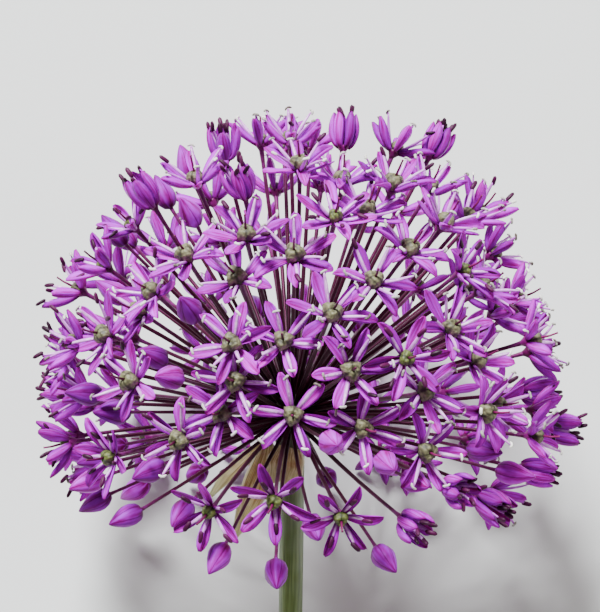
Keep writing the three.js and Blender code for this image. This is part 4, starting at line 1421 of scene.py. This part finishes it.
# %% [markdown]
# ## Spathe bracts
# Before it flowers, the head is wrapped in a papery sheath. It splits, dries and hangs under the
# receptacle as tan sheets with fine lengthwise veins, curled at their edges. Each sheet is a grid
# along a curve, rippled and rolled, and Solidify gives it a wall.

# %% Shape the bracts
BRACTS = {
    "spathe_bract_broad": {
        "spine": [(-0.6, -6.2, 4.0), (-1.4, -9.4, 4.6), (-2.2, -13.2, 5.6)],
        "halves": [2.6, 3.9, 3.2],
        "facing": (-0.2, 0, 1),
        "curl": 0.3,
        "ragged": 0.35,
    },
    "spathe_bract_curled": {
        "spine": [(-4.2, -5.8, -0.4), (-8.8, -9.2, -0.8), (-13.0, -13.0, 0), (-16.0, -16.6, 1.2)],
        "halves": [1.0, 1.4, 1.3, 0.5],
        "facing": (0.2, 0.6, 0.8),
        "curl": 0.25,
        "ragged": 0.15,
    },
    "spathe_bract_long": {
        "spine": [(-4.7, -6, 1.4), (-6.6, -13, 1.6), (-9, -19, 2.2), (-11.4, -25, 2.6)],
        "halves": [1.2, 2.8, 2.2, 0.5],
        "facing": (-0.25, 0, 1),
        "curl": 0.25,
        "ragged": 0.1,
    },
}
BRACT_ROWS = 26
BRACT_COLUMNS = 14
BRACT_WALL = 0.22
BRACT_RIPPLE = 0.28
BRACT_CRIMP = 0.1
NEARBY = 0.02


def along_spine(points, t):
    """The place on a smooth curve through a few points, where t runs from 0 to 1."""
    at = t * (len(points) - 1)
    first = min(int(at), len(points) - 2)
    share = at - first
    before = points[max(first - 1, 0)]
    after = points[min(first + 2, len(points) - 1)]
    place = []
    for a, b, c, d in zip(before, points[first], points[first + 1], after):
        squared = (2 * a - 5 * b + 4 * c - d) * share**2
        cubed = (3 * b - a - 3 * c + d) * share**3
        place.append(0.5 * (2 * b + (c - a) * share + squared + cubed))
    return tuple(place)


def make_bract(name, shape):
    mesh = bmesh.new()
    uv_layer = mesh.loops.layers.uv.new("UVMap")
    facing = Vector(shape["facing"])
    rows = []
    for row in range(BRACT_ROWS):
        t = row / (BRACT_ROWS - 1)
        middle = Vector(along_spine(shape["spine"], t))
        ahead = Vector(along_spine(shape["spine"], min(t + NEARBY, 1)))
        behind = Vector(along_spine(shape["spine"], max(t - NEARBY, 0)))
        along = (ahead - behind).normalized()
        wide = along.cross(facing).normalized()
        out = wide.cross(along)
        half = along_spine([(h, 0) for h in shape["halves"]], t)[0]
        line = []
        for column in range(BRACT_COLUMNS + 1):
            s = -1 + 2 * column / BRACT_COLUMNS
            edge = 1 - shape["ragged"] * abs(math.sin(9 * t + 3 * s)) * t * 0.4
            roll = -shape["curl"] * half * s * s
            ripple = BRACT_RIPPLE * math.sin(11 * t + 4 * s) * abs(s)
            crimp = BRACT_CRIMP * math.sin(19 * s + 3 * t)
            reach = t * shape["ragged"] * 0.9 * math.sin(5 * s + 1)
            spot = middle + wide * (half * s * edge) + out * (roll + (ripple + crimp)) - along * reach
            line.append((mesh.verts.new(TO_WORLD @ spot), ((s + 1) / 2, t)))
        rows.append(line)
    for lower, higher in zip(rows, rows[1:]):
        for k in range(BRACT_COLUMNS):
            add_face(mesh, [lower[k], lower[k + 1], higher[k + 1], higher[k]], uv_layer)
    sheet = mesh_object(name.replace("spathe_bract", "bract"), mesh)
    bpy.context.scene.collection.objects.link(sheet)
    wall = sheet.modifiers.new("Wall", "SOLIDIFY")
    wall.thickness = BRACT_WALL * MM
    wall.offset = 0
    return sheet


# %% The bracts' dry paper
def make_bract_material():
    material, tree = new_material("Spathe_dry_paper")
    uv = add_node(tree, "ShaderNodeUVMap")
    split = add_node(tree, "ShaderNodeSeparateXYZ", {0: uv})
    u, v = split.outputs[0], split.outputs[1]
    # Fibres run along the sheet, about 0.25 mm apart, and are broken every few millimetres.
    stretch = add_node(tree, "ShaderNodeVectorMath", {0: uv, 1: (22.0, 3.0, 1.0)}, operation="MULTIPLY")
    fibres = add_node(tree, "ShaderNodeTexNoise", {"Scale": 1.0, "Detail": 4.0, "Vector": stretch})
    tans = [(0.36, "#7c6840"), (0.47, "#a8966a"), (0.58, "#d0c29a")]
    paper = add_node(tree, "ShaderNodeValToRGB", {0: fibres}, tans)
    # Over them lie brown stains about 4 mm across, a green tinge at the tip, and a pale edge.
    place = add_node(tree, "ShaderNodeTexCoord").outputs["Object"]
    blotch = add_node(tree, "ShaderNodeTexNoise", {"Scale": 0.26 / MM, "Detail": 3.0, "Vector": place})
    layers = (
        (blotch, [(0.46, 0.0), (0.62, 0.55)], "#8a5a3c"),
        (v, [(0.5, 0.0), (0.95, 0.8)], "#bcc096"),
        (off_line(tree, u), [(0.4, 0.0), (0.49, 0.8)], "#ece6cc"),
    )
    rough = add_node(tree, "ShaderNodeMapRange", {0: blotch, 3: 0.5, 4: 0.8})
    bump = add_node(tree, "ShaderNodeBump", {"Strength": 0.8, "Distance": 0.12 * MM, "Height": fibres})
    finish = {
        "Base Color": lay_over(tree, paper, layers),
        "Roughness": rough,
        "Normal": bump,
        "Subsurface Weight": 0.4,
        "Subsurface Radius": (1.0, 0.8, 0.4),
        "Subsurface Scale": 0.0012,
    }
    return with_finish(material, finish)


bract_paper = make_bract_material()
for node_name, shape in BRACTS.items():
    bract = make_bract(node_name, shape)
    bract.data.materials.append(bract_paper)
    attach(bract, "root")
    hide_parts(node_name)
print("bracts:", len(BRACTS))

# %% [markdown]
# ## Stage, light and camera
# The head lies on a plain pale surface under soft light: a large lamp to the upper left, a weaker
# one to the right, and an even pale sky all round.


# %% The pale floor
FLOOR_HALF = 3.0


def make_floor():
    mesh = bmesh.new()
    bmesh.ops.create_grid(mesh, x_segments=1, y_segments=1, size=FLOOR_HALF)
    floor = mesh_object("floor", mesh)
    bpy.context.scene.collection.objects.link(floor)
    material, _ = new_material("Floor_pale_matte")
    floor.data.materials.append(with_finish(material, {"Base Color": colour("#dfe0dc"), "Roughness": 0.9}))
    floor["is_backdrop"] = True


make_floor()


# %% Lamps and sky
def make_lamp(name, place, size, power, tint):
    lamp = bpy.data.lights.new(name, "AREA")
    lamp.shape = "DISK"
    lamp.size = size
    lamp.energy = power
    lamp.color = tint
    holder = bpy.data.objects.new(name, lamp)
    holder.location = place
    holder.rotation_euler = Vector(place).to_track_quat("Z", "Y").to_euler()
    bpy.context.scene.collection.objects.link(holder)


make_lamp("key_lamp", (-0.6, 1.6, 2.2), 0.9, 250.0, (0.94, 0.97, 1.0))
make_lamp("fill_lamp", (2.2, -0.3, 1.1), 1.0, 16.0, (1.0, 0.97, 0.96))
sky = bpy.data.worlds.new("Soft_sky")
sky.use_nodes = True
sky.node_tree.nodes["Background"].inputs[0].default_value = colour("#f7eeea")
sky.node_tree.nodes["Background"].inputs[1].default_value = 0.22
bpy.context.scene.world = sky


# %% The camera
def make_camera():
    camera = bpy.data.cameras.new("Camera")
    camera.sensor_fit = "HORIZONTAL"
    camera.sensor_width = 36.0
    camera.lens = camera.sensor_width * CAMERA_DISTANCE / (PICTURE_SIZE[0] * MM_PER_PIXEL)
    camera.clip_start = 0.01
    holder = bpy.data.objects.new("Camera", camera)
    place = TO_WORLD @ Vector(TO_CAMERA * CAMERA_DISTANCE)
    right_of_middle = (PICTURE_SIZE[0] / 2 - MEETING_PIXEL[0]) * MM_PER_PIXEL
    over_middle = (MEETING_PIXEL[1] - PICTURE_SIZE[1] / 2) * MM_PER_PIXEL
    target = TO_WORLD @ Vector(np.array([right_of_middle, 0, 0]) + CAMERA_UP * over_middle)
    back = (place - target).normalized()
    right = Vector((1, 0, 0))
    right = (right - back * right.dot(back)).normalized()
    turned = Matrix((right, back.cross(right), back)).transposed().to_4x4()
    holder.matrix_world = Matrix.Translation(place) @ turned
    bpy.context.scene.collection.objects.link(holder)
    bpy.context.scene.camera = holder


make_camera()


# %% Compare the sizes and finish
visual_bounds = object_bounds()
boxes = {"cad": cad_bounds, "visual": visual_bounds}
{name: [list(map(float, corner)) for corner in box] for name, box in boxes.items()}
print("box in mm:", [[round(value / MM, 1) for value in corner] for corner in visual_bounds])
